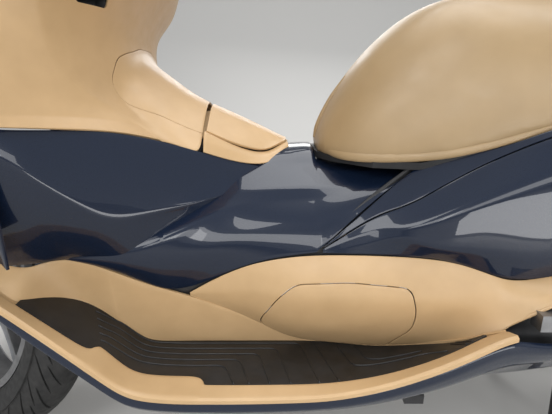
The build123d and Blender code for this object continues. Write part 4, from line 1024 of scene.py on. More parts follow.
def clear_lens(name, colour, rough, tint=1.0):
    """Clear or coloured moulded plastic that lets light through."""
    material, nodes, links, shader = wired(name, rough)
    place = mottled(nodes, links, shader, [c * 0.94 for c in colour], colour, 50)
    rough_range(nodes, links, shader, place, 70, rough, rough + 0.02)
    shader.inputs["Transmission Weight"].default_value = tint
    shader.inputs["IOR"].default_value = 1.46
    return material


def bright_plate(name, dark, light, low, high):
    """Bare or plated metal with fine wear."""
    material, nodes, links, shader = wired(name, 0.3, metallic=1.0)
    place = mottled(nodes, links, shader, dark, light, 55)
    rough_range(nodes, links, shader, place, 160, low, high)
    grained(nodes, links, shader, place, 700, 0.03, 0.1)
    return material


plastic = black_plastic()
lens_clear = clear_lens("lamp_clear", (0.96, 0.97, 0.98), 0.01)
lens_amber = clear_lens("lamp_amber", (0.95, 0.38, 0.04), 0.05, 0.85)
chrome = bright_plate("reflector_chrome", (0.78, 0.79, 0.80), (0.86, 0.87, 0.88), 0.05, 0.12)

NOSE = [
    # x, then y z: middle, shoulder, upper side, widest, side, lower side, foot
    (-84, (0, 753), (9, 752), (17, 750), (22, 745), (20, 738), (14, 732), (5, 730)),
    (-77, (0, 782), (22, 781), (46, 772), (62, 752), (62, 732), (50, 716), (34, 708)),
    (-50, (0, 812), (38, 810), (76, 796), (102, 764), (102, 730), (84, 706), (60, 694)),
    (-15, (0, 847), (58, 844), (104, 824), (142, 780), (140, 726), (110, 694), (90, 676)),
    (20, (0, 880), (75, 874), (130, 850), (178, 800), (175, 735), (152, 690), (130, 655)),
    (75, (0, 924), (90, 915), (160, 886), (220, 824), (218, 746), (196, 680), (178, 612)),
    (130, (0, 963), (110, 952), (185, 918), (255, 850), (256, 770), (256, 690), (225, 570)),
    (195, (0, 976), (125, 964), (205, 928), (282, 866), (284, 776), (284, 694), (268, 520)),
    (256, (0, 984), (140, 970), (220, 935), (300, 880), (303, 790), (304, 700), (300, 474)),
]
nose_rows = [[(x, y, z) for y, z in ring] for x, *ring in NOSE]
nose = shell("nose_fairing", nose_rows, folds={3: 0.6, 5: 0.35}, whole=True, out=-1, wall=4.0, edge=0)

HEADLAMP = [(30, 750), (92, 762), (152, 784), (203, 846), (168, 850), (96, 826), (30, 800)]
INDICATOR = [(182, 700), (262, 724), (262, 752), (182, 738)]
for outline in (HEADLAMP, INDICATOR):
    path = rounded(outline, 14)
    for side in (1, -1):
        rings = []
        for gap, x in ((JOINT / 2, -110), (JOINT / 2, 150), (-JOINT / 2, 150), (-JOINT / 2, -110)):
            rings.append([at(x, p.x * side, p.y) for p in grown(path, gap)])
        cut(nose, closed_strip("joint", rings))
nose_parts = islands(nose, ("nose_fairing", "lens_a", "lens_b", "lens_c", "lens_d"))
nose = nose_parts[0]
lenses = sorted(nose_parts[1:], key=lambda part: -len(part.data.vertices))
for made in nose_parts:
    finished(made, edge=0.7)
fit(nose, "body", navy, "gloss_body", "front_fairing")
for made in lenses:
    middle = sum((v.co for v in made.data.vertices), Vector()) / len(made.data.vertices)
    hand = "left" if middle.y < 0 else "right"
    if middle.z > 0.76:
        made.name = f"headlamp_lens_{hand}"
        fit(made, "body", lens_clear, "lamp_lens", "headlamps")
    else:
        made.name = f"indicator_lens_{hand}"
        fit(made, "body", lens_amber, "amber_lens", "front_indicators")


def turned(name, profile, middle, axis, parts=48, closed=True):
    """Body turned about an axis through a point: profile of (distance along the axis, radius) in mm."""
    axis = Vector(axis).normalized()
    across = axis.orthogonal().normalized()
    other = axis.cross(across)
    points, faces = [], []
    count = len(profile)
    for k in range(parts):
        turn = 2 * math.pi * k / parts
        spoke = across * math.cos(turn) + other * math.sin(turn)
        points += [middle + axis * (along / 1000) + spoke * (radius / 1000) for along, radius in profile]
    for k in range(parts):
        a, b = k * count, (k + 1) % parts * count
        for j in range(count if closed else count - 1):
            i = (j + 1) % count
            faces.append((a + j, a + i, b + i, b + j))
    mesh = bpy.data.meshes.new(name)
    mesh.from_pydata(points, [], faces)
    shape = bmesh.new()
    shape.from_mesh(mesh)
    bmesh.ops.remove_doubles(shape, verts=shape.verts, dist=1e-6)
    bmesh.ops.recalc_face_normals(shape, faces=shape.faces)
    shape.to_mesh(mesh)
    shape.free()
    mesh.shade_smooth()
    return put(name, mesh)


# Lamp units behind the lenses: a black housing, with two projector barrels in chromed bowls on each side.

LAMP_HOUSING = [
    # x, then y z round the housing's mouth and its back
    [(34, 752), (92, 764), (150, 785), (198, 843), (167, 846), (97, 822), (34, 798)],
    [(40, 762), (92, 774), (140, 794), (170, 826), (150, 832), (100, 812), (40, 792)],
]
PROJECTORS = [((-18, 74, 792), 21), ((22, 128, 806), 19)]
for side, hand in ((1, "left"), (-1, "right")):
    mouth, back = LAMP_HOUSING
    front_x = [-52 + (y - 34) * 0.66 for y, z in mouth]
    grid = [
        [at(x, y * side, z) for x, (y, z) in zip(front_x, mouth)],
        [at(x + 46, y * side, z) for x, (y, z) in zip(front_x, back)],
        [at(x + 48, (y * 0.9 + 10) * side, z * 0.98 + 16) for x, (y, z) in zip(front_x, back)],
    ]
    mesh = bpy.data.meshes.new(f"lamp_housing_{hand}")
    across = len(mouth)
    faces = []
    for r in range(2):
        for k in range(across):
            a, b = r * across, (r + 1) * across
            faces.append((a + k, a + (k + 1) % across, b + (k + 1) % across, b + k))
    faces.append(tuple(range(2 * across, 3 * across)))
    mesh.from_pydata([p for row in grid for p in row], [], faces)
    housing = finished(put(f"lamp_housing_{hand}", mesh), thickness=2.0, edge=0.8)
    fit(housing, "body", plastic, "black_plastic")
    for k, ((x, y, z), radius) in enumerate(PROJECTORS):
        bowl_profile = [(0, radius), (3, radius - 1), (18, radius - 8), (26, 4), (28, 4), (20, radius - 5), (2, radius + 2)]
        bowl = turned(f"lamp_bowl_{hand}_{k}", bowl_profile, at(x, y * side, z), (1, 0, 0), parts=32)
        fit(bowl, "body", chrome, "bright_metal")
        bulb_profile = [(12, 0), (6, 7), (3, 11), (5, 13), (10, 14), (16, 14), (16, 0)]
        bulb = turned(f"projector_{hand}_{k}", bulb_profile, at(x, y * side, z), (1, 0, 0), parts=32)
        fit(bulb, "body", lens_clear, "lamp_lens")

# Chin: black panel that closes the nose below, from its tip back to the steering head.

CHIN = [
    # x, then y z from the middle
    (-80, (0, 727), (8, 728), (14, 731)),
    (-70, (0, 709), (26, 711), (46, 715)),
    (-50, (0, 694), (34, 695), (62, 697)),
    (-15, (0, 676), (48, 677), (90, 679)),
    (20, (0, 655), (70, 656), (128, 659)),
    (60, (0, 640), (80, 640), (150, 636)),
]
chin_rows = [[(x, y, z) for y, z in ring] for x, *ring in CHIN]
chin = shell("nose_chin", chin_rows, whole=True, out=1, levels=2)
fit(chin, "body", plastic, "black_plastic")

# Windscreen: a bowed sheet of clear acrylic, smoked a little, on four rubber-mounted screws in the nose.

SCREEN_ROWS = [
    # z, x in the middle, x at the end, y at the end
    (900, 66, 208, 200), (960, 88, 216, 201), (1050, 123, 232, 199), (1150, 166, 254, 189), (1250, 214, 283, 174),
    (1340, 262, 312, 152), (1400, 296, 331, 124), (1428, 312, 341, 92), (1438, 318, 336, 60),
]
SCREEN_COLUMNS = 6
screen_rows = []
for z, middle_x, end_x, end_y in SCREEN_ROWS:
    row = []
    for k in range(SCREEN_COLUMNS + 1):
        t = k / SCREEN_COLUMNS
        row.append((middle_x + (end_x - middle_x) * t * t, end_y * t, z))
    screen_rows.append(row)


def smoked_acrylic():
    """Clear sheet with a light grey tint."""
    material, nodes, links, shader = wired("smoked_acrylic", 0.01)
    place = mottled(nodes, links, shader, (0.74, 0.77, 0.79), (0.80, 0.82, 0.84), 12)
    rough_range(nodes, links, shader, place, 25, 0.0, 0.02)
    shader.inputs["Transmission Weight"].default_value = 1.0
    shader.inputs["IOR"].default_value = 1.2
    return material


screen = shell("windscreen", screen_rows, whole=True, out=1, wall=4.0, edge=1.0, levels=3)
fit(screen, "body", smoked_acrylic(), "screen", "windscreen")

SCREEN_SCREWS = [(96, 60, 968), (170, 160, 968), (96, -60, 968), (170, -160, 968)]
screen_tree = surface_under(screen)
for k, (x, y, z) in enumerate(SCREEN_SCREWS):
    hit, normal, _, _ = screen_tree.ray_cast(at(x - 200, y, z), Vector((1, 0, 0)))
    head = turned(
        f"screen_screw_{k}", [(-6, 0), (-6, 9), (0.5, 9), (1.5, 8.5), (2, 6), (4.5, 5), (5, 3), (3.5, 2.4), (3.5, 0)],
        hit, normal if normal.x < 0 else -normal, parts=24,
    )
    fit(head, "body", plastic, "black_plastic")

# Mirrors: gloss housings on black stalks that rise from the nose, with the glass set into a rim.

MIRROR_RINGS = [
    # x of the ring, how large it is against the mouth, and its shift outward and up
    (176, 0.25, 4, 2), (178, 0.55, 3, 1), (184, 0.76, 2, 1), (196, 0.92, 0, 0), (210, 0.99, 0, 0), (224, 1.0, 0, 0),
    (229, 0.98, 0, 0), (229, 0.93, 0, 0), (222, 0.92, 0, 0),
]
MIRROR_MOUTH = [(266, 1096), (284, 1154), (330, 1164), (366, 1160), (376, 1118), (362, 1084), (322, 1078), (284, 1084)]


def mirror_glass():
    """Silvered glass, a trace blue."""
    material, nodes, links, shader = wired("mirror_glass", 0.02, metallic=1.0)
    place = mottled(nodes, links, shader, (0.78, 0.82, 0.86), (0.82, 0.86, 0.90), 9)
    rough_range(nodes, links, shader, place, 30, 0.01, 0.03)
    return material


mouth_y = sum(y for y, z in MIRROR_MOUTH) / len(MIRROR_MOUTH)
mouth_z = sum(z for y, z in MIRROR_MOUTH) / len(MIRROR_MOUTH)
glass_material = mirror_glass()
for side, hand in ((1, "left"), (-1, "right")):
    rows = []
    for x, size, out_by, up_by in MIRROR_RINGS:
        ring = []
        for y, z in MIRROR_MOUTH + MIRROR_MOUTH[:1]:
            ring.append((x, (mouth_y + out_by + (y - mouth_y) * size) * side, mouth_z + up_by + (z - mouth_z) * size))
        rows.append(ring)
    mirror_shell = shell(f"mirror_shell_{hand}", rows, levels=2, wall=2.0, edge=0, ribs={6: 0.8, 7: 0.8}, out=side)
    fit(mirror_shell, "body", navy, "gloss_body", "mirrors")
    glass_rows = []
    for size in (0.0, 0.45, 0.90, 0.93):
        x = 224.5 if size < 0.92 else 221
        ring = [(x, (mouth_y + (y - mouth_y) * size) * side, mouth_z + (z - mouth_z) * size)
                for y, z in MIRROR_MOUTH + MIRROR_MOUTH[:1]]
        glass_rows.append(ring)
    glass = shell(f"mirror_glass_{hand}", glass_rows, levels=2, wall=2.0, edge=0, ribs={2: 0.7}, out=-side)
    fit(glass, "body", glass_material, "bright_metal")
    stalk = spline_tube(
        f"mirror_stalk_{hand}",
        [(160, 203 * side, 915), (166, 218 * side, 960), (172, 240 * side, 1020), (190, 264 * side, 1068),
         (206, 290 * side, 1098)],
        [15, 11, 8, 7.5, 10], turns=16,
    )
    fit(stalk, "body", plastic, "black_plastic")

# Tyres: black rubber over a round crown, with slanting grooves cut to each side in turn.


def tyre_rubber():
    """Black tyre rubber, dusty grey on the tread."""
    material, nodes, links, shader = wired("tyre_rubber", 0.75)
    place = mottled(nodes, links, shader, (0.014, 0.014, 0.014), (0.03, 0.029, 0.028), 60)
    rough_range(nodes, links, shader, place, 90, 0.62, 0.82)
    grained(nodes, links, shader, place, 1500, 0.06, 0.2)
    return material


rubber = tyre_rubber()
PITCHES = 16
GROOVE_SLANT = 0.95
GROOVE_DEPTH = 3.6
GROOVES = [
    # place in the pitch, width in the pitch, from and to across the tread (1 is the tread's edge)
    (0.10, 0.075, 0.10, 0.62), (0.42, 0.065, 0.34, 0.92), (0.72, 0.06, 0.16, 0.50), (0.86, 0.055, 0.58, 0.95),
]


def tyre(name, radius, width, rim_radius, bead_half, hand):
    """Ring of rubber round the y axis through the origin; its grooves lean forward to the outside."""
    stations = []
    for k in range(21):
        stations.append(-1 + k / 10)
    crown = width / 2
    marks = sorted({0.0} | {round(p + e, 4) for p, w, _, _ in GROOVES for e in (0, 0.016, w - 0.016, w)})
    marks = sorted(set(marks) | {0.28, 0.58})
    points, faces, columns = [], [], []
    side_profile = [(0.985, 0.0), (1.0, 9.0), (0.965, 20.0), (0.93, 28.0), (0.80, 38.0)]
    pitch_turn = 2 * math.pi / PITCHES
    for pitch in range(PITCHES):
        for mark in marks:
            column = []
            for across in stations:
                lean = GROOVE_SLANT * abs(across) ** 1.4
                half_pitch = 0.5 if across * hand > 0 else 0.0
                turn = pitch_turn * (pitch + mark + lean)
                swing = across * math.radians(72)
                depth = 0.0
                for place, span, start, end in GROOVES:
                    middle = (place + half_pitch) % 1
                    inside = place + 0.012 < mark < place + span - 0.012
                    if inside and start - 0.02 <= abs(across) <= end + 0.02:
                        depth = GROOVE_DEPTH
                flat = crown * 0.96
                r = radius - crown + crown * math.cos(swing) * 0.98 + crown * 0.02 - depth * math.cos(swing)
                y = flat * math.sin(swing) - depth * math.sin(swing)
                column.append((r, y, turn))
            edge_r, edge_y, edge_turn = column[-1]
            sides = []
            for k, (share, drop) in enumerate(side_profile):
                r = edge_r - drop * (edge_r - rim_radius) / 38.0
                y = crown * share if k < 4 else bead_half
                sides.append((r, y, edge_turn))
            column = [(r, -y, t) for r, y, t in reversed(sides)] + column + sides
            columns.append([(r * math.cos(t) / 1000, y / 1000, r * math.sin(t) / 1000) for r, y, t in column])
    across_count = len(columns[0])
    for c in range(len(columns)):
        a, b = c * across_count, (c + 1) % len(columns) * across_count
        for j in range(across_count - 1):
            faces.append((a + j, b + j, b + j + 1, a + j + 1))
    mesh = bpy.data.meshes.new(name)
    mesh.from_pydata([p for column in columns for p in column], [], faces)
    shape = bmesh.new()
    shape.from_mesh(mesh)
    bmesh.ops.recalc_face_normals(shape, faces=shape.faces)
    shape.to_mesh(mesh)
    shape.free()
    mesh.shade_smooth()
    mesh.set_sharp_from_angle(angle=math.radians(40))
    return put(name, mesh)


REAR_AXLE = at(1510, 0, 291)
FRONT_AXLE = at(6.656, -23.589, 267.356)
STEER_TURN = Matrix.Rotation(
    math.radians(-35), 4, Vector((math.sin(math.radians(26.5)), 0, math.cos(math.radians(26.5))))
)


def on_wheel(made, axle, turned_with_fork):
    """Put a piece made round the y axis at an axle, turned with the fork where asked."""
    move = Matrix.Translation(axle)
    if turned_with_fork:
        move = move @ STEER_TURN
    made.data.transform(move)
    return made


rear_tyre = on_wheel(tyre("rear_tyre_tread", 276, 140, 178, 54, 1), REAR_AXLE, False)
fit(rear_tyre, "rear_wheel", rubber, "tyre_rubber", "rear_tyre")
front_tyre = on_wheel(tyre("front_tyre_tread", 274.5, 120, 190.5, 46, 1), FRONT_AXLE, True)
fit(front_tyre, "front_wheel", rubber, "tyre_rubber", "front_tyre")

# Metal and plastic parts whose solid shape is right as it is: they take their finish here.


def painted_metal(name, dark, light, low, high, metallic=0.0):
    """Painted or coated metal, a little uneven."""
    material, nodes, links, shader = wired(name, 0.4, metallic=metallic)
    place = mottled(nodes, links, shader, dark, light, 45)
    rough_range(nodes, links, shader, place, 120, low, high)
    grained(nodes, links, shader, place, 800, 0.05, 0.15)
    return material


cast_grey = painted_metal("cast_alloy", (0.20, 0.20, 0.205), (0.26, 0.26, 0.265), 0.34, 0.48, 0.85)
frame_black = painted_metal("frame_black", (0.012, 0.012, 0.013), (0.022, 0.022, 0.024), 0.3, 0.45)
engine_grey = painted_metal("engine_grey", (0.12, 0.12, 0.122), (0.17, 0.17, 0.172), 0.4, 0.56, 0.6)
disc_steel = bright_plate("disc_steel", (0.45, 0.44, 0.43), (0.55, 0.54, 0.53), 0.22, 0.34)
bright = bright_plate("bright_metal", (0.55, 0.55, 0.56), (0.66, 0.66, 0.67), 0.16, 0.28)
grip_rubber = black_rubber()
lens_red = clear_lens("lamp_red", (0.62, 0.02, 0.015), 0.05, 0.6)
plate_white = painted_metal("plate_white", (0.70, 0.70, 0.68), (0.76, 0.76, 0.74), 0.3, 0.4)

CARRIED = {
    "front_disc": disc_steel, "rear_disc": disc_steel,
    "fork": cast_grey, "front_caliper": cast_grey, "handlebar": frame_black, "dash": plastic, "fuel_cap": plastic,
    "inner_cowl": plastic, "frame": frame_black, "seat_base": plastic, "storage_box": plastic,
    "grab_rail": frame_black, "number_plate": plate_white, "centre_stand": frame_black,
    "side_stand": frame_black, "peg_left": cast_grey, "peg_right": cast_grey,
}
for node, material in CARRIED.items():
    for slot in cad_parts[node].material_slots:
        slot.link = "OBJECT"
        slot.material = material

# Wheels: one-piece aluminium castings with five hollow-backed spokes, turned on the bead seats and the hub,
# and painted grey.


def joined(name, parts, sharp=36):
    """One piece out of loose parts, each of points in metres and faces, with crisp edges past an angle."""
    made = put(name, bpy.data.meshes.new(name))
    added(made, parts)
    shape = bmesh.new()
    shape.from_mesh(made.data)
    bmesh.ops.recalc_face_normals(shape, faces=shape.faces)
    shape.to_mesh(made.data)
    shape.free()
    made.data.shade_smooth()
    made.data.set_sharp_from_angle(angle=math.radians(sharp))
    return made


def taken(made):
    """Points and faces of a piece, which is dropped."""
    part = ([v.co.copy() for v in made.data.vertices], [tuple(f.vertices) for f in made.data.polygons])
    bpy.data.objects.remove(made)
    return part


def lofted(rings):
    """Points and faces through closed rings, with both ends closed."""
    across = len(rings[0])
    faces = []
    for r in range(len(rings) - 1):
        for k in range(across):
            a, b = r * across + k, r * across + (k + 1) % across
            faces.append((a, b, b + across, a + across))
    faces.append(tuple(range(across))[::-1])
    faces.append(tuple((len(rings) - 1) * across + k for k in range(across)))
    return [p for ring in rings for p in ring], faces


SPOKE_SHAPE = [
    # share of the way out, half width, half thickness in mm
    (0.0, 19, 21), (0.12, 15, 19), (0.3, 11.5, 16), (0.55, 10, 14), (0.8, 11.5, 13), (0.93, 16, 14), (1.0, 24, 16),
]
SPOKE_RING = [(1, -0.5), (1, 0.5), (0.78, 1), (0.32, 0.78), (-0.32, 0.78), (-0.78, 1), (-1, 0.5), (-1, -0.5),
              (-0.78, -1), (-0.32, -0.78), (0.32, -0.78), (0.78, -1)]


def cast_wheel(name, radius, half, hub_half, disc_y):
    """Rim, hub with the disc's seat, and five spokes round the y axis through the origin."""
    seat_r, lip_r = radius - 0.6, radius - 16.5
    rim_section = [
        (-half, seat_r), (half, seat_r), (half, lip_r + 2), (half - 4, lip_r), (half - 9, lip_r + 3),
        (half - 18, lip_r + 6.5), (18 - half, lip_r + 6.5), (9 - half, lip_r + 3), (4 - half, lip_r), (-half, lip_r + 2),
    ]
    hub_section = [
        (-hub_half, 9.8), (-hub_half, 24), (4 - hub_half, 28), (-24, 31), (-18, 37), (18, 37), (24, 33),
        (disc_y - 17, 31), (disc_y - 12, 49), (disc_y - 3, 51), (disc_y - 3, 9.8),
    ]
    parts = [taken(turned("rim", rim_section, Vector(), (0, 1, 0), parts=96)),
             taken(turned("hub", hub_section, Vector(), (0, 1, 0), parts=48))]
    start, end = 30, radius - 8.5
    for k in range(5):
        turn = 2 * math.pi * k / 5 + math.pi / 2
        out, side = Vector((math.cos(turn), 0, math.sin(turn))), Vector((-math.sin(turn), 0, math.cos(turn)))
        rings = []
        for share, half_wide, half_thick in SPOKE_SHAPE:
            r = start + (end - start) * share
            rings.append([(out * r + side * (u * half_wide) + Vector((0, v * half_thick, 0))) / 1000
                          for u, v in SPOKE_RING])
        parts.append(lofted(rings))
    return joined(name, parts)


front_wheel = on_wheel(cast_wheel("front_wheel_casting", 190.5, 48, 46, 58), FRONT_AXLE, True)
fit(front_wheel, "front_wheel", cast_grey, "cast_alloy", "front_rim")
rear_wheel = on_wheel(cast_wheel("rear_wheel_casting", 177.8, 56, 50, 84), REAR_AXLE, False)
fit(rear_wheel, "rear_wheel", cast_grey, "cast_alloy", "rear_rim")

# Engine and transmission: cast aluminium block, with the belt drive's long case and screwed cover on the
# left and a plate arm on the right, which together carry the rear axle.


def pressed(name, outline, layers, edge=0.0, radius=12):
    """Body through the same (x, z) outline at several depths: layers of y to the left and how far it is grown."""
    path = rounded(outline, radius)
    made = joined(name, [lofted([[at(p.x, y, p.y) for p in grown(path, gap)] for y, gap in layers])], sharp=30)
    return finished(made, edge=edge, angle=30) if edge else made


def hex_heads(spots, y, size, high):
    """Hexagon screw heads at (x, z) spots, standing out to the left (or right, where high is negative)."""
    parts = []
    side = 1 if high > 0 else -1
    for x, z in spots:
        profile = [(0, 0), (0, size * 1.25), (1.2, size * 1.25), (1.2, size), (abs(high), size * 0.92), (abs(high), 0)]
        parts.append(taken(turned("head", profile, at(x, y, z), (0, -side, 0), parts=6)))
    return parts


BLOCK = [(960, 240), (985, 420), (1170, 420), (1205, 360), (1205, 215), (1000, 215)]
CASE = [(1138, 250), (1142, 385), (1200, 412), (1500, 372), (1575, 330), (1580, 262), (1520, 212), (1180, 205)]
ARM = [(1215, 240), (1215, 300), (1240, 330), (1540, 325), (1545, 262), (1240, 230)]
LUG = [(1162, 186), (1162, 262), (1205, 262), (1198, 186)]
block_rings = [(-105, -6), (-98, 0)]
for rib_at in range(-84, 90, 28):
    block_rings += [(rib_at - 9, 0), (rib_at - 7, -4), (rib_at + 7, -4), (rib_at + 9, 0)]
block_rings += [(98, 0), (105, -6)]
engine_parts = [
    pressed("engine_block", BLOCK, block_rings, radius=22),
    pressed("transmission_case", CASE, [(100, -26), (124, -10), (130, 0), (190, 0), (194, -2)], radius=34),
    pressed("transmission_cover", CASE, [(193, -1.5), (199, -3), (202.5, -8), (202.5, -9)], edge=0.8, radius=34),
    pressed("swing_arm", ARM, [(-118, -3), (-120, 0), (-132, 0), (-134, -3)], radius=14),
    pressed("stand_lug_left", LUG, [(105, 0), (118, 0)], edge=1.0, radius=5),
    pressed("stand_lug_right", LUG, [(-118, 0), (-105, 0)], edge=1.0, radius=5),
    turned("axle_housing", [(0, 0), (0, 36), (4, 40), (48, 40), (48, 0)], at(1510, 78, 291), (0, -1, 0)),
    turned("rear_axle", [(0, 0), (0, 9), (262, 9), (264, 8), (264, 0)], at(1510, 124, 291), (0, 1, 0), parts=24),
    turned("rear_axle_nut", [(0, 0), (0, 18), (2, 18), (2, 15), (7, 14), (7, 0)], at(1510, -134, 291), (0, 1, 0), parts=6),
    pressed("arm_mount", [(1175, 240), (1175, 300), (1235, 300), (1235, 240)], [(-134, 0), (-95, 0)], edge=2.0),
]
CASE_SCREWS = [(1156, 270), (1158, 366), (1204, 396), (1300, 383), (1400, 372), (1496, 357), (1560, 318), (1562, 268),
               (1514, 226), (1410, 224), (1300, 222), (1194, 220)]
engine_parts.append(joined("case_screws", hex_heads(CASE_SCREWS, 202, 4.6, 3.4)))
DRUM_RINGS = [(0, 0), (0, 1.0), (2.6, 0.97), (2.6, 0.86), (0.6, 0.82), (0.6, 0.5), (2.2, 0.46), (2.8, 0.2), (2.8, 0)]
for drum, (x, z, radius) in (("variator", (1232, 306, 82)), ("clutch", (1506, 292, 58))):
    profile = [(along, share * radius) for along, share in DRUM_RINGS]
    engine_parts.append(turned(f"{drum}_dome", profile, at(x, 202, z), (0, -1, 0), parts=64))
fins = []
for k in range(9):
    x = 1342 + k * 11
    fins.append(lofted([[at(x + u, y, z) for u, z in ((-2, 262), (2, 262), (2, 334), (-2, 334))] for y in (202, 204.6)]))
engine_parts.append(joined("cover_ribs", fins))
for made in engine_parts:
    fit(made, "body", engine_grey, "engine_alloy", "engine_unit")

# Exhaust: steel header pipe to a round silencer on the right, with a ribbed heat shield strapped over it and
# a black end cap round the outlet.

exhaust_steel = painted_metal("exhaust_steel", (0.16, 0.16, 0.158), (0.23, 0.228, 0.222), 0.28, 0.46, 0.75)
MUFFLER_FROM, MUFFLER_TO = at(1335, -224, 262), at(1790, -224, 372)
muffler_way = (MUFFLER_TO - MUFFLER_FROM).normalized()
header = spline_tube(
    "header_pipe", [(1090, -64, 216), (1094, -100, 196), (1108, -136, 188), (1160, -166, 188), (1222, -190, 192),
                    (1290, -210, 226), (1345, -224, 264)], 16.5, body_parts=8, turns=20,
)
silencer = turned(
    "silencer", [(0, 0), (0, 18), (6, 20), (30, 44), (44, 52), (52, 56), (388, 57), (388, 0)], MUFFLER_FROM, muffler_way,
    parts=56,
)
end_cap = turned(
    "silencer_cap", [(386, 0), (386, 59.5), (392, 60), (424, 58), (446, 52), (462, 40), (467, 27), (440, 25), (440, 0)],
    MUFFLER_FROM, muffler_way, parts=56,
)
outlet = turned(
    "outlet_pipe", [(438, 0), (438, 25), (504, 26), (507, 25), (507, 22), (446, 21), (446, 0)],
    MUFFLER_FROM, muffler_way, parts=40,
)
straps = []
for along in (96, 330):
    strap = [(along - 8, 55), (along - 8, 59), (along - 6, 60), (along + 6, 60), (along + 8, 59), (along + 8, 55)]
    straps.append(taken(turned("strap", strap, MUFFLER_FROM, muffler_way, parts=56)))
across_way = muffler_way.orthogonal().normalized()
across_way = (Vector((0, 1, 0)) - muffler_way * muffler_way.y).normalized()
up_way = muffler_way.cross(across_way)
up_way = up_way if up_way.z > 0 else -up_way
shield_rings = []
for k in range(33):
    along = 112 + 200 * k / 32
    swell = 60.0 if k % 4 in (0, 1) else 58.2
    shield_rings.append([MUFFLER_FROM + muffler_way * (along / 1000)
                         + (across_way * math.cos(t) + up_way * math.sin(t)) * (swell / 1000)
                         for t in (math.radians(-30 + 15 * j) for j in range(10))])
shield_mesh = bpy.data.meshes.new("heat_shield")
shield_faces = [(r * 10 + j, r * 10 + j + 1, r * 10 + j + 11, r * 10 + j + 10) for r in range(32) for j in range(9)]
shield_mesh.from_pydata([p for ring in shield_rings for p in ring], [], shield_faces)
heat_shield = finished(put("heat_shield", shield_mesh), levels=1, thickness=-1.0, edge=0)
bracket = pressed("silencer_bracket", [(1382, 286), (1382, 308), (1418, 312), (1418, 280)], [(-180, 0), (-134, 0)], edge=1.5)
for made, material in ((header, exhaust_steel), (silencer, exhaust_steel), (joined("silencer_straps", straps), bright),
                       (outlet, bright), (heat_shield, frame_black), (end_cap, plastic), (bracket, frame_black)):
    fit(made, "body", material, "engine_alloy", "exhaust")

# Rear shocks: steel dampers with a sprung coil outside, between the axle's carriers and the frame's rails.

SHOCK_FEET = (("left", 1, 368), ("right", -1, 316))
COIL_TURNS = 7
for hand, side, foot_z in SHOCK_FEET:
    foot, top = at(1536, 118 * side, foot_z), at(1452, 118 * side, 651)
    way = (top - foot).normalized()
    length = (top - foot).length * 1000
    damper = turned(
        f"shock_damper_{hand}",
        [(8, 0), (8, 12), (44, 12.5), (46, 20), (52, 21), (55, 19), (56, 13.5), (length * 0.52, 13.5), (length * 0.54, 12),
         (length * 0.54, 6), (length - 52, 6), (length - 52, 19), (length - 50, 21), (length - 42, 20), (length - 38, 11),
         (length - 8, 11), (length - 8, 0)],
        foot, way, parts=36,
    )
    fit(damper, "body", frame_black, "frame_steel", "shocks")
    one, other = Vector((0, 1, 0)), way.cross(Vector((0, 1, 0))).normalized()
    knots = []
    for k in range(COIL_TURNS * 8 + 1):
        t = k / (COIL_TURNS * 8)
        turn = 2 * math.pi * COIL_TURNS * t
        spot = foot + way * ((57 + (length - 113) * t) / 1000)
        spot = spot + (one * math.cos(turn) + other * math.sin(turn)) * 0.0178
        knots.append((spot.x * 1000 + AXLE_BACK, -spot.y * 1000, spot.z * 1000))
    coil = spline_tube(f"shock_coil_{hand}", knots, 3.1, body_parts=2, turns=8)
    fit(coil, "body", bright, "bright_metal", "shocks")
    eyes = []
    for spot in (foot, top):
        ring = [(-13, 4), (-13, 9), (-12, 11.5), (12, 11.5), (13, 9), (13, 4)]
        eyes.append(taken(turned("eye", ring, spot, (0, 1, 0), parts=28)))
    fit(joined(f"shock_eyes_{hand}", eyes), "body", frame_black, "frame_steel", "shocks")

# Rear fender: black moulding close over the tyre with turned-down sides, and a sloping bracket for the plate.

FENDER_COLUMNS = [(0, 334.5), (50, 334), (76, 330), (86, 320), (89.5, 304), (90, 268)]
fender_rows = []
for k in range(17):
    turn = math.radians(36 + 108 * k / 16)
    end = min(k, 16 - k)
    short = 30 if end == 0 else (8 if end == 1 else 0)
    fender_rows.append([(1510 + (r + (short if j == 5 else 0)) * math.cos(turn), y,
                         291 + (r + (short if j == 5 else 0)) * math.sin(turn))
                        for j, (y, r) in enumerate(FENDER_COLUMNS)])
fender = shell("rear_fender_hoop", fender_rows, folds={4: 0.3}, whole=True, out=-1, levels=2, wall=3.5)
fit(fender, "body", plastic, "black_plastic", "rear_fender")
BRACKET_ROWS = [
    # x, z, half width, how far the sides run forward
    (1712, 690, 74, 22), (1734, 672, 77, 44), (1776, 612, 78, 78), (1818, 552, 78, 96), (1852, 502, 77, 86),
    (1867, 480, 74, 60), (1858, 466, 72, 40),
]
bracket_rows = []
for x, z, half, run in BRACKET_ROWS:
    bracket_rows.append([(x, 0, z), (x, half - 10, z), (x - 2, half - 3, z - 1), (x - 9, half, z - 5),
                         (x - run * 0.55, half, z - run * 0.3), (x - run, half - 1, z - run * 0.5)])
plate_bracket = shell("plate_bracket", bracket_rows, folds={2: 0.4, 3: 0.4}, whole=True, out=-1, levels=2, wall=3.0)
fit(plate_bracket, "body", plastic, "black_plastic", "rear_fender")
plate_down = Vector((146, 0, -210)).normalized()
plate_out = Vector((210, 0, 146)).normalized()
plate_screws = []
for y in (-46, 46):
    spot = Vector((1795, 0, 585)) - plate_down * 58 + plate_out * 3
    plate_screws.append(taken(turned("screw", [(-1, 0), (-1, 6), (1.2, 6), (2.4, 4), (2.4, 0)],
                                     at(spot.x, y, spot.z), Vector((210, 0, 146)), parts=20)))
fit(joined("plate_screws", plate_screws), "body", bright, "bright_metal")

# Tail lamp: red lens between amber indicator lenses, over a chromed reflector with dividing ribs.

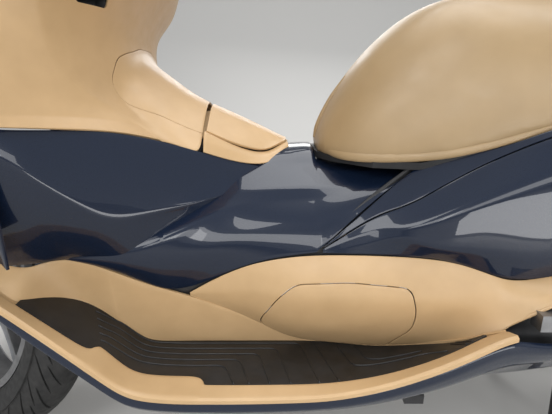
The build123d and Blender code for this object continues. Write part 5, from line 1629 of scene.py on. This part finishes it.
LAMP_ROWS = [
    # z, how far back it stands in the middle
    (785, 1712), (778, 1729), (760, 1737), (738, 1739), (718, 1736), (706, 1727), (701, 1714),
]
LAMP_BOW = [(0, 0), (30, 0.6), (58, 3), (62, 3.6), (82, 10), (94, 20), (100, 33)]


def lens_strip(name, first, last, deep, low):
    """Part of the lamp's curved face between two columns, set in by a depth."""
    rows = []
    for z, x in LAMP_ROWS:
        row = []
        for y, bow in LAMP_BOW[first:last]:
            row.append((max(x - deep - bow, 1694 + low), y, z))
        rows.append(row)
    return rows


tail_lens = shell("tail_lens", lens_strip("tail", 0, 3, 0, 0), whole=True, levels=2, out=-1, wall=2.5)
fit(tail_lens, "body", lens_red, "red_lens", "tail_lamp")
amber_left = shell("rear_indicator_left", lens_strip("amber", 3, 7, 0, 0), levels=2, out=-1, wall=2.5)
fit(amber_left, "body", lens_amber, "amber_lens", "tail_lamp")
fit(twin(amber_left, "rear_indicator_right"), "body", lens_amber, "amber_lens", "tail_lamp")
back = shell("tail_reflector", lens_strip("back", 0, 7, 12, -2), whole=True, levels=1, out=-1, wall=1.5, edge=0)
fit(back, "body", chrome, "bright_metal", "tail_lamp")
dividers = []
for y in (-60, -36, -12, 12, 36, 60):
    line = [(x - 11, z) for z, x in LAMP_ROWS] + [(x - 3.4, z) for z, x in reversed(LAMP_ROWS)]
    bow = 3.2 if abs(y) == 60 else 1.0
    dividers.append(lofted([[at(x - bow, y + u, z) for x, z in line] for u in (-1, 1)]))
fit(joined("lamp_dividers", dividers), "body", plastic, "black_plastic", "tail_lamp")

# Shade backings: black strips behind the joints between painted and tan mouldings, painted shade that makes each gap
# read dark.

SHADE_BACKING_IN = 7.0
SHADE_BACKING_HALF = 15.0
GAP_SHADE_OUT = 2.2
GAP_SHADE_DEEP = 8.5
GAP_SHADE_RADIUS = 4.5


def shade_backing(name, line, half):
    """Black strip a little inside a joint that runs through points (x, y left, z): painted shade, so that the gap reads
    dark.
    """
    rows = []
    for x, y, z in line:
        rows.append([(x, y - SHADE_BACKING_IN, z + half), (x, y - SHADE_BACKING_IN, z), (x, y - SHADE_BACKING_IN, z - half)])
    strip = shell(name, rows, out=-1, levels=1, wall=2.0, edge=0)
    fit(strip, "body", plastic, "black_plastic")
    fit(twin(strip, name.replace("left", "right")), "body", plastic, "black_plastic")


shade_backing("joint_carrier_left", [row[-1] for row in tunnel_rows[:9]] + [row[-1] for row in rear_rows[1:11]], SHADE_BACKING_HALF)
shade_backing("groove_carrier_left", [row[1] for row in rear_rows[1:]], 9.0)
slant = [(670, 189, 452), (720, 178, 497), (767, 163, 534), (803, 149, 556), (845, 140, 586)]
shade_backing("slant_carrier_left", slant, 14.0)

# A black tube just behind each service lid's joint: painted shade, so that the joint reads as a dark line.
panel_tree = surface_under(side_panel_left)
gap_shade_line = []
for p in grown(lid_path, GAP_SHADE_OUT)[::3]:
    spot, _, _, _ = panel_tree.ray_cast(at(p.x, 320, p.y), Vector((0, 1, 0)))
    if spot is not None:
        gap_shade_line.append((p.x, -spot.y * 1000 - GAP_SHADE_DEEP, p.y))
lid_gap_shade = spline_tube("lid_seal_left", gap_shade_line, GAP_SHADE_RADIUS, body_parts=8, turns=12)
fit(lid_gap_shade, "body", plastic, "black_plastic")
fit(twin(lid_gap_shade, "lid_seal_right"), "body", plastic, "black_plastic")

# Peg recess: a black liner behind each passenger peg, under a tan lip rolled along the side panel's edge.

LINER = [
    # x, then y z: under the panel's lip, inner wall's top, its foot, behind the cowl
    (934, (236, 338), (228, 336), (226, 330), (240, 326)),
    (960, (240, 362), (226, 354), (220, 330), (246, 312)),
    (990, (248, 384), (222, 378), (214, 326), (244, 306)),
    (1028, (250, 402), (218, 396), (208, 322), (238, 300)),
    (1095, (248, 416), (216, 408), (204, 320), (230, 296)),
    (1128, (240, 418), (212, 410), (202, 330), (222, 306)),
]
liner_rows = [[(x, y, z) for y, z in ring] for x, *ring in LINER]
peg_liner = shell("peg_liner_left", liner_rows, folds={1: 0.4, 2: 0.4}, levels=2, wall=2.0, edge=0, out=-1)
fit(peg_liner, "body", plastic, "black_plastic")
fit(twin(peg_liner, "peg_liner_right"), "body", plastic, "black_plastic")
lip_line = [(x, y - 1.2, z) for x, *_, (y, z) in SIDE_PANEL if x > 900]
peg_lip = spline_tube("peg_lip_left", lip_line, [1.6, 3.0, 3.4, 3.4, 3.4, 3.0], body_parts=6, turns=10)
fit(peg_lip, "body", tan, "matte_tan")
fit(twin(peg_lip, "peg_lip_right"), "body", tan, "matte_tan")

# Spine panel: cut from the shield's own surface, so that it lies flush, with a fine joint round it; clipped
# over the column and the tank's filler neck.

SEAM = [(492, 91, 620), (469, 98, 630), (416, 111, 654), (390, 123, 667), (368, 133, 679), (350, 137, 695),
        (350, 134, 714), (352, 114, 741), (358, 90, 750), (362, 60, 756), (362, 30, 761)]
SEAM_HALF = 0.6
SEAM_SIGHT = Vector((0.6, 0, 0.8))
SEAM_ACROSS = Vector((0.8, 0, -0.6))
half_seam = [Vector((Vector(p).dot(SEAM_ACROSS), p[1])) for p in SEAM]
seam_path = rounded(half_seam + [Vector((p.x, -p.y)) for p in reversed(half_seam)], 9)
seam_rings = []
for gap, far in ((SEAM_HALF, 740), (SEAM_HALF, 850), (-SEAM_HALF, 850), (-SEAM_HALF, 740)):
    spots = [SEAM_ACROSS * p.x + SEAM_SIGHT * far + Vector((0, p.y, 0)) for p in grown(seam_path, gap)]
    seam_rings.append([at(*spot) for spot in spots])
cut(leg_shield, closed_strip("joint", seam_rings))
leg_shield, spine_panel = islands(leg_shield, ("leg_shield", "spine_panel"))
fit(finished(spine_panel, edge=0.5), "body", tan, "matte_tan", "spine_cover")

# Glove box: its lid is cut from the left of the leg shield, hinged along the foot, over a moulded pocket.

GLOVE_FOOT = Vector((316, 263))
GLOVE_END = Vector((408, 166))
GLOVE_Z, GLOVE_HIGH = 848, 78
GLOVE_DEEP = 78
glove_along = (GLOVE_END - GLOVE_FOOT).normalized()
glove_out = Vector((-glove_along.y, glove_along.x))
glove_wide = (GLOVE_END - GLOVE_FOOT).length
glove_path = rounded([(0, 0), (glove_wide, 0), (glove_wide, GLOVE_HIGH), (0, GLOVE_HIGH)], 12)


def on_glove(path, out_by):
    """Ring of points over the glove box's outline, at a distance out from the shield's face."""
    ring = []
    for p in path:
        flat = GLOVE_FOOT + glove_along * p.x + glove_out * out_by
        ring.append(at(flat.x, flat.y, GLOVE_Z + p.y))
    return ring


slit = [on_glove(grown(glove_path, gap), by) for gap, by in ((1.2, -36), (1.2, 40), (-1.2, 40), (-1.2, -36))]
cut(leg_shield, closed_strip("joint", slit))
leg_shield, glove_door = islands(leg_shield, ("leg_shield", "glove_box_lid"))
for made in (leg_shield, glove_door):
    finished(made, edge=0.7)
fit(leg_shield, "body", tan, "matte_tan", "leg_shield")
fit(glove_door, "glove_lid", tan, "matte_tan", "glove_lid")
pocket_rings = [on_glove(grown(glove_path, 5), -17), on_glove(grown(glove_path, 3), -GLOVE_DEEP)]
across = len(pocket_rings[0])
pocket_faces = [(k, (k + 1) % across, across + (k + 1) % across, across + k) for k in range(across)]
pocket_faces.append(tuple(range(across, 2 * across)))
pocket_mesh = bpy.data.meshes.new("glove_pocket")
pocket_mesh.from_pydata(pocket_rings[0] + pocket_rings[1], [], pocket_faces)
glove_pocket = finished(put("glove_pocket", pocket_mesh), thickness=-2.0)
fit(glove_pocket, "body", plastic, "black_plastic")
slot_path = rounded([(60, -37), (112, -37), (112, -21), (60, -21)], 6)
slot = [on_glove(grown(slot_path, gap), by) for gap, by in ((0, -80), (0, 30), (-7.5, 30), (-7.5, -80))]
cut(leg_shield, closed_strip("joint", slot))
leg_shield = islands(leg_shield, ("leg_shield",))[0]
finished(leg_shield, edge=0.7, angle=60)
fit(leg_shield, "body", tan, "matte_tan", "leg_shield")
finger_rings = [on_glove(grown(slot_path, 4), -50), on_glove(grown(slot_path, 4), -78)]
across = len(slot_path)
finger_faces = [(k, (k + 1) % across, across + (k + 1) % across, across + k) for k in range(across)]
finger_faces.append(tuple(range(across, 2 * across)))
finger_mesh = bpy.data.meshes.new("finger_recess")
finger_mesh.from_pydata(finger_rings[0] + finger_rings[1], [], finger_faces)
fit(finished(put("finger_recess", finger_mesh), thickness=-2.0), "body", plastic, "black_plastic")
lock_spot = Vector((glove_wide / 2, GLOVE_HIGH - 16))
lock_flat = GLOVE_FOOT + glove_along * lock_spot.x
lock_ray = Vector((-glove_out.x, glove_out.y, 0))
door_tree = surface_under(glove_door)
hit, normal, _, _ = door_tree.ray_cast(at(lock_flat.x + 60 * glove_out.x, lock_flat.y + 60 * glove_out.y,
                                          GLOVE_Z + lock_spot.y), lock_ray)
glove_lock = turned(
    "glove_lock", [(-3, 0), (-3, 10), (0.6, 10), (1.6, 9), (1.6, 6.5), (0.8, 6), (0.8, 0)], hit, -lock_ray, parts=32
)
fit(glove_lock, "glove_lid", bright, "bright_metal")

# Fuel filler: a black tray under the fuel lid with a well round the screw cap.

tray_rows = [[(x, y, z - 15) for y, z in ring] for x, *ring in FUEL_LID]
filler_tray = shell("filler_tray", tray_rows, whole=True, out=-1, wall=2.0, edge=0, levels=2)
WELL = 41
well_ring = [Vector((540 + WELL * math.cos(k * math.pi / 18), WELL * math.sin(k * math.pi / 18))) for k in range(36)]
well_cut = [[at(p.x, p.y, z) for p in grown(well_ring, gap)]
            for gap, z in ((0, 560), (0, 700), (-40.5, 700), (-40.5, 560))]
cut(filler_tray, closed_strip("joint", well_cut))
filler_tray = islands(filler_tray, ("filler_tray",))[0]
fit(filler_tray, "body", plastic, "black_plastic")
filler_well = turned(
    "filler_well", [(0, 41), (12, 41), (12, 43.5), (-2, 43.5), (-2, 0), (0, 0)], at(540, 0, 600), (0, 0, 1), parts=48
)
fit(filler_well, "body", plastic, "black_plastic")

# Fork and handlebar details are drawn straight ahead and turned with the steering, which is stored at its
# right-hand stop as in the photo.

STEER_FOOT = at(-89, 0, 0)
STEER = Matrix.Translation(STEER_FOOT) @ STEER_TURN @ Matrix.Translation(-STEER_FOOT)
CASTER = math.radians(26.5)


def on_steering(made):
    """Turn a piece drawn straight ahead with the steering."""
    made.data.transform(STEER)
    return made


def along_fork(distance, forward, y):
    """Point along the steering axis, moved forward across it and to the left."""
    x = -89 + distance * math.sin(CASTER) - forward * math.cos(CASTER)
    z = distance * math.cos(CASTER) + forward * math.sin(CASTER)
    return (x, y, z)


FORK_AHEAD = 41.1
FORK_Y = 90
seal_profile = [(-14, 23.2), (-14, 26), (-6, 27), (4, 26.5), (10, 22), (10, 16.9), (-4, 16.9)]
nut_profile = [(0, 0), (0, 15), (7, 15), (9, 12), (9, 0)]
for side, hand in ((1, "left"), (-1, "right")):
    fork_axis = Vector((math.sin(CASTER), 0, math.cos(CASTER)))
    seal = turned(f"fork_seal_{hand}", seal_profile, at(*along_fork(522, FORK_AHEAD, FORK_Y * side)), fork_axis)
    fit(on_steering(seal), "steering", plastic, "black_plastic")
    sleeve = turned(
        f"fork_slider_{hand}", [(0, 18), (0, 25), (16, 27.5), (46, 27.5), (60, 24.6), (250, 24.2), (252, 23)],
        at(*along_fork(256, FORK_AHEAD, FORK_Y * side)), fork_axis,
    )
    fit(on_steering(sleeve), "steering", engine_grey, "cast_alloy")
    nut = turned(f"axle_nut_{hand}", nut_profile, at(0, (FORK_Y + 9) * side, 270.7), (0, -side, 0), parts=6)
    fit(on_steering(nut), "steering", bright, "bright_metal")

# Front mudguard: navy moulding close over the tyre, with turned-down sides, on brackets to the fork.

GUARD_COLUMNS = [(0, 295), (24, 294.5), (46, 292), (60, 287), (67, 277), (69, 262)]
GUARD_STEPS = 15
guard_rows = []
for k in range(GUARD_STEPS + 1):
    t = k / GUARD_STEPS
    turn = math.radians(157 - 160 * t)
    end = min(t, 1 - t)
    narrow = 1 - 0.22 * max(0, 0.12 - end) / 0.12
    row = []
    for y, r in GUARD_COLUMNS:
        reach = r if y < 60 else r + (292 - r) * max(0, 0.12 - end) / 0.12 * 0.8
        row.append((reach * math.cos(turn), y * narrow, reach * math.sin(turn)))
    guard_rows.append(row)
mudguard = shell("front_mudguard_cover", guard_rows, folds={4: 0.5}, whole=True, out=1, levels=2, wall=3.0)
mudguard.data.transform(Matrix.Translation(Vector((AXLE_BACK / 1000, 0, 0))))
fit(on_wheel(mudguard, FRONT_AXLE, True), "steering", navy, "gloss_body", "front_mudguard")
for side, hand in ((1, "left"), (-1, "right")):
    plate = [(66, 176), (84, 262), (104, 282), (168, 258), (150, 196), (120, 160)]
    rows = [[(x, y * side, z) for x, z in plate + plate[:1]] for y in (68, 71)]
    bracket = shell(f"mudguard_bracket_{hand}", rows, levels=0, wall=0, edge=0)
    shape = bmesh.new()
    shape.from_mesh(bracket.data)
    bmesh.ops.remove_doubles(shape, verts=shape.verts, dist=1e-6)
    bmesh.ops.holes_fill(shape, edges=shape.edges)
    bmesh.ops.recalc_face_normals(shape, faces=shape.faces)
    shape.to_mesh(bracket.data)
    shape.free()
    finished(bracket, edge=1.0)
    bracket.data.transform(Matrix.Translation(Vector((AXLE_BACK / 1000, 0, 0))))
    fit(on_wheel(bracket, FRONT_AXLE, True), "steering", plastic, "black_plastic")

# Handlebar: black steel bar under a two-piece cover, with rubber grips, end weights, switch boxes, brake
# reservoirs and cast levers.

BAR = [(424, 0, 1029), (428, 60, 1037), (438, 150, 1055), (516, 232, 1051), (552, 356, 1035)]
bar_dir = (Vector(BAR[4]) - Vector(BAR[3])).normalized()
COVER = [
    # x, then y z round the left half
    (390, (0, 1062), (50, 1060), (90, 1050), (106, 1037), (94, 1022), (56, 1014)),
    (402, (0, 1076), (60, 1074), (108, 1061), (126, 1041), (112, 1019), (66, 1008)),
    (424, (0, 1083), (62, 1082), (114, 1069), (136, 1046), (120, 1015), (70, 1002)),
    (448, (0, 1078), (58, 1077), (110, 1065), (130, 1044), (114, 1015), (64, 1003)),
    (465, (0, 1064), (46, 1062), (80, 1053), (94, 1040), (80, 1020), (48, 1010)),
]
bar_cover = finished(cushion_form("bar_cover", COVER), levels=2)
fit(on_steering(bar_cover), "steering", plastic, "black_plastic", "handlebar_cover")

GRIP_RIDGES = 14
for side, hand in ((1, "left"), (-1, "right")):
    axis = Vector((bar_dir.x, -bar_dir.y * side, bar_dir.z))
    profile = [(0, 11), (0, 21), (4, 22), (7, 21), (8, 17.5)]
    for k in range(GRIP_RIDGES):
        start = 10 + k * 7
        profile += [(start, 17.2), (start + 2, 18.2), (start + 4.5, 18.2), (start + 6, 17.2)]
    profile += [(110, 18.5), (114, 18.5), (116, 16), (116, 11)]
    grip_at = Vector(BAR[3]) + bar_dir * 18
    grip = turned(f"grip_{hand}", profile, at(grip_at.x, grip_at.y * side, grip_at.z), axis, parts=32)
    fit(on_steering(grip), "steering", grip_rubber, "mat_rubber", "grips")
    end_at = Vector(BAR[4]) + bar_dir * 2
    weight = turned(
        f"bar_end_{hand}", [(0, 0), (0, 13), (2, 15), (10, 15), (13, 12), (13, 4), (11, 3), (11, 0)],
        at(end_at.x, end_at.y * side, end_at.z), axis, parts=32,
    )
    fit(on_steering(weight), "steering", bright, "bright_metal")
    box_at = Vector(BAR[3]) - bar_dir * 10
    box_profile = [(0, 12), (0, 21), (3, 24), (30, 24), (33, 21), (33, 12)]
    box = turned(f"switch_box_{hand}", box_profile, at(box_at.x - 10, (box_at.y - 14) * side, box_at.z), axis, parts=28)
    fit(on_steering(box), "steering", plastic, "black_plastic")
    for k, (up, back) in enumerate(((10, 22), (-4, 25), (-14, 20))):
        knob_at = box_at + bar_dir * 6
        knob = turned(
            f"switch_{hand}_{k}", [(0, 0), (0, 5), (5, 5), (6.5, 3.5), (6.5, 0)],
            at(knob_at.x - 8 + back - 4, (knob_at.y - 14) * side, knob_at.z + up), (1, 0, up / 40), parts=20,
        )
        fit(on_steering(knob), "steering", plastic, "black_plastic")
    tank_at = (432, 168 * side, 1078)
    tank = turned(
        f"brake_reservoir_{hand}", [(-14, 0), (-14, 17), (8, 19), (8, 21), (13, 21), (14.5, 19), (14.5, 0)],
        at(*tank_at), (0.1, 0, 1), parts=36,
    )
    fit(on_steering(tank), "steering", plastic, "black_plastic")

# Dash: black hood over the instruments, with two round dials and a display, tick marks only.

POD = [
    # x, then y z round the left half
    (148, (0, 1016), (50, 1014), (92, 1008), (112, 990), (117, 958), (116, 934)),
    (170, (0, 1022), (52, 1020), (96, 1012), (117, 990), (120, 958), (118, 934)),
    (215, (0, 1012), (54, 1010), (98, 1002), (118, 982), (121, 954), (119, 934)),
    (262, (0, 994), (54, 992), (96, 986), (114, 970), (118, 948), (117, 934)),
]
pod = finished(cushion_form("instrument_hood", POD), levels=2)
fit(pod, "body", plastic, "black_plastic")
DIAL_LEAN = Vector((0.86, 0, 0.51)).normalized()
for k, (y, radius) in enumerate(((62, 39), (-62, 39))):
    place = at(262, y, 966)
    bezel = turned(
        f"dial_bezel_{k}", [(-12, radius + 1), (7, radius + 3), (10, radius + 1), (8, radius - 3), (2, radius - 4), (-12, radius - 4)],
        place, DIAL_LEAN, parts=48,
    )
    fit(bezel, "body", bright, "bright_metal")
    face = turned(f"dial_face_{k}", [(1, 0), (1, radius - 3), (-4, radius - 3), (-4, 0)], place, DIAL_LEAN, parts=48)
    across_dial = Vector((0, 1, 0))
    up_dial = DIAL_LEAN.cross(across_dial)
    up_dial = up_dial if up_dial.z > 0 else -up_dial
    ticks = []
    for n in range(25):
        turn = math.radians(-210 + 10 * n)
        spoke = across_dial * math.cos(turn) - up_dial * math.sin(turn)
        side_way = DIAL_LEAN.cross(spoke) * 0.0006
        inner = (radius - (11 if n % 4 == 0 else 8)) / 1000
        outer = (radius - 5) / 1000
        lift = DIAL_LEAN * 0.0014
        base = [place + lift + spoke * r + side_way * w for r, w in ((inner, -1), (inner, 1), (outer, 1), (outer, -1))]
        top = [p + DIAL_LEAN * 0.0005 for p in base]
        ticks.append((base + top, [(0, 3, 2, 1), (4, 5, 6, 7), (0, 1, 5, 4), (1, 2, 6, 5), (2, 3, 7, 6), (3, 0, 4, 7)]))
    fit(face, "body", plastic, "black_plastic")
    tick_mesh = bpy.data.meshes.new(f"dial_ticks_{k}")
    marks_piece = put(f"dial_ticks_{k}", tick_mesh)
    needle = math.radians(-190)
    spoke = across_dial * math.cos(needle) - up_dial * math.sin(needle)
    side_way = DIAL_LEAN.cross(spoke) * 0.0016
    base = [place + DIAL_LEAN * 0.003 + spoke * r + side_way * w
            for r, w in ((-0.008, -1), (-0.008, 1), (radius / 1000 - 0.009, 0.3), (radius / 1000 - 0.009, -0.3))]
    top = [p + DIAL_LEAN * 0.001 for p in base]
    ticks.append((base + top, [(0, 3, 2, 1), (4, 5, 6, 7), (0, 1, 5, 4), (1, 2, 6, 5), (2, 3, 7, 6), (3, 0, 4, 7)]))
    added(marks_piece, ticks)
    fit(marks_piece, "body", plate_white, "plate_white")
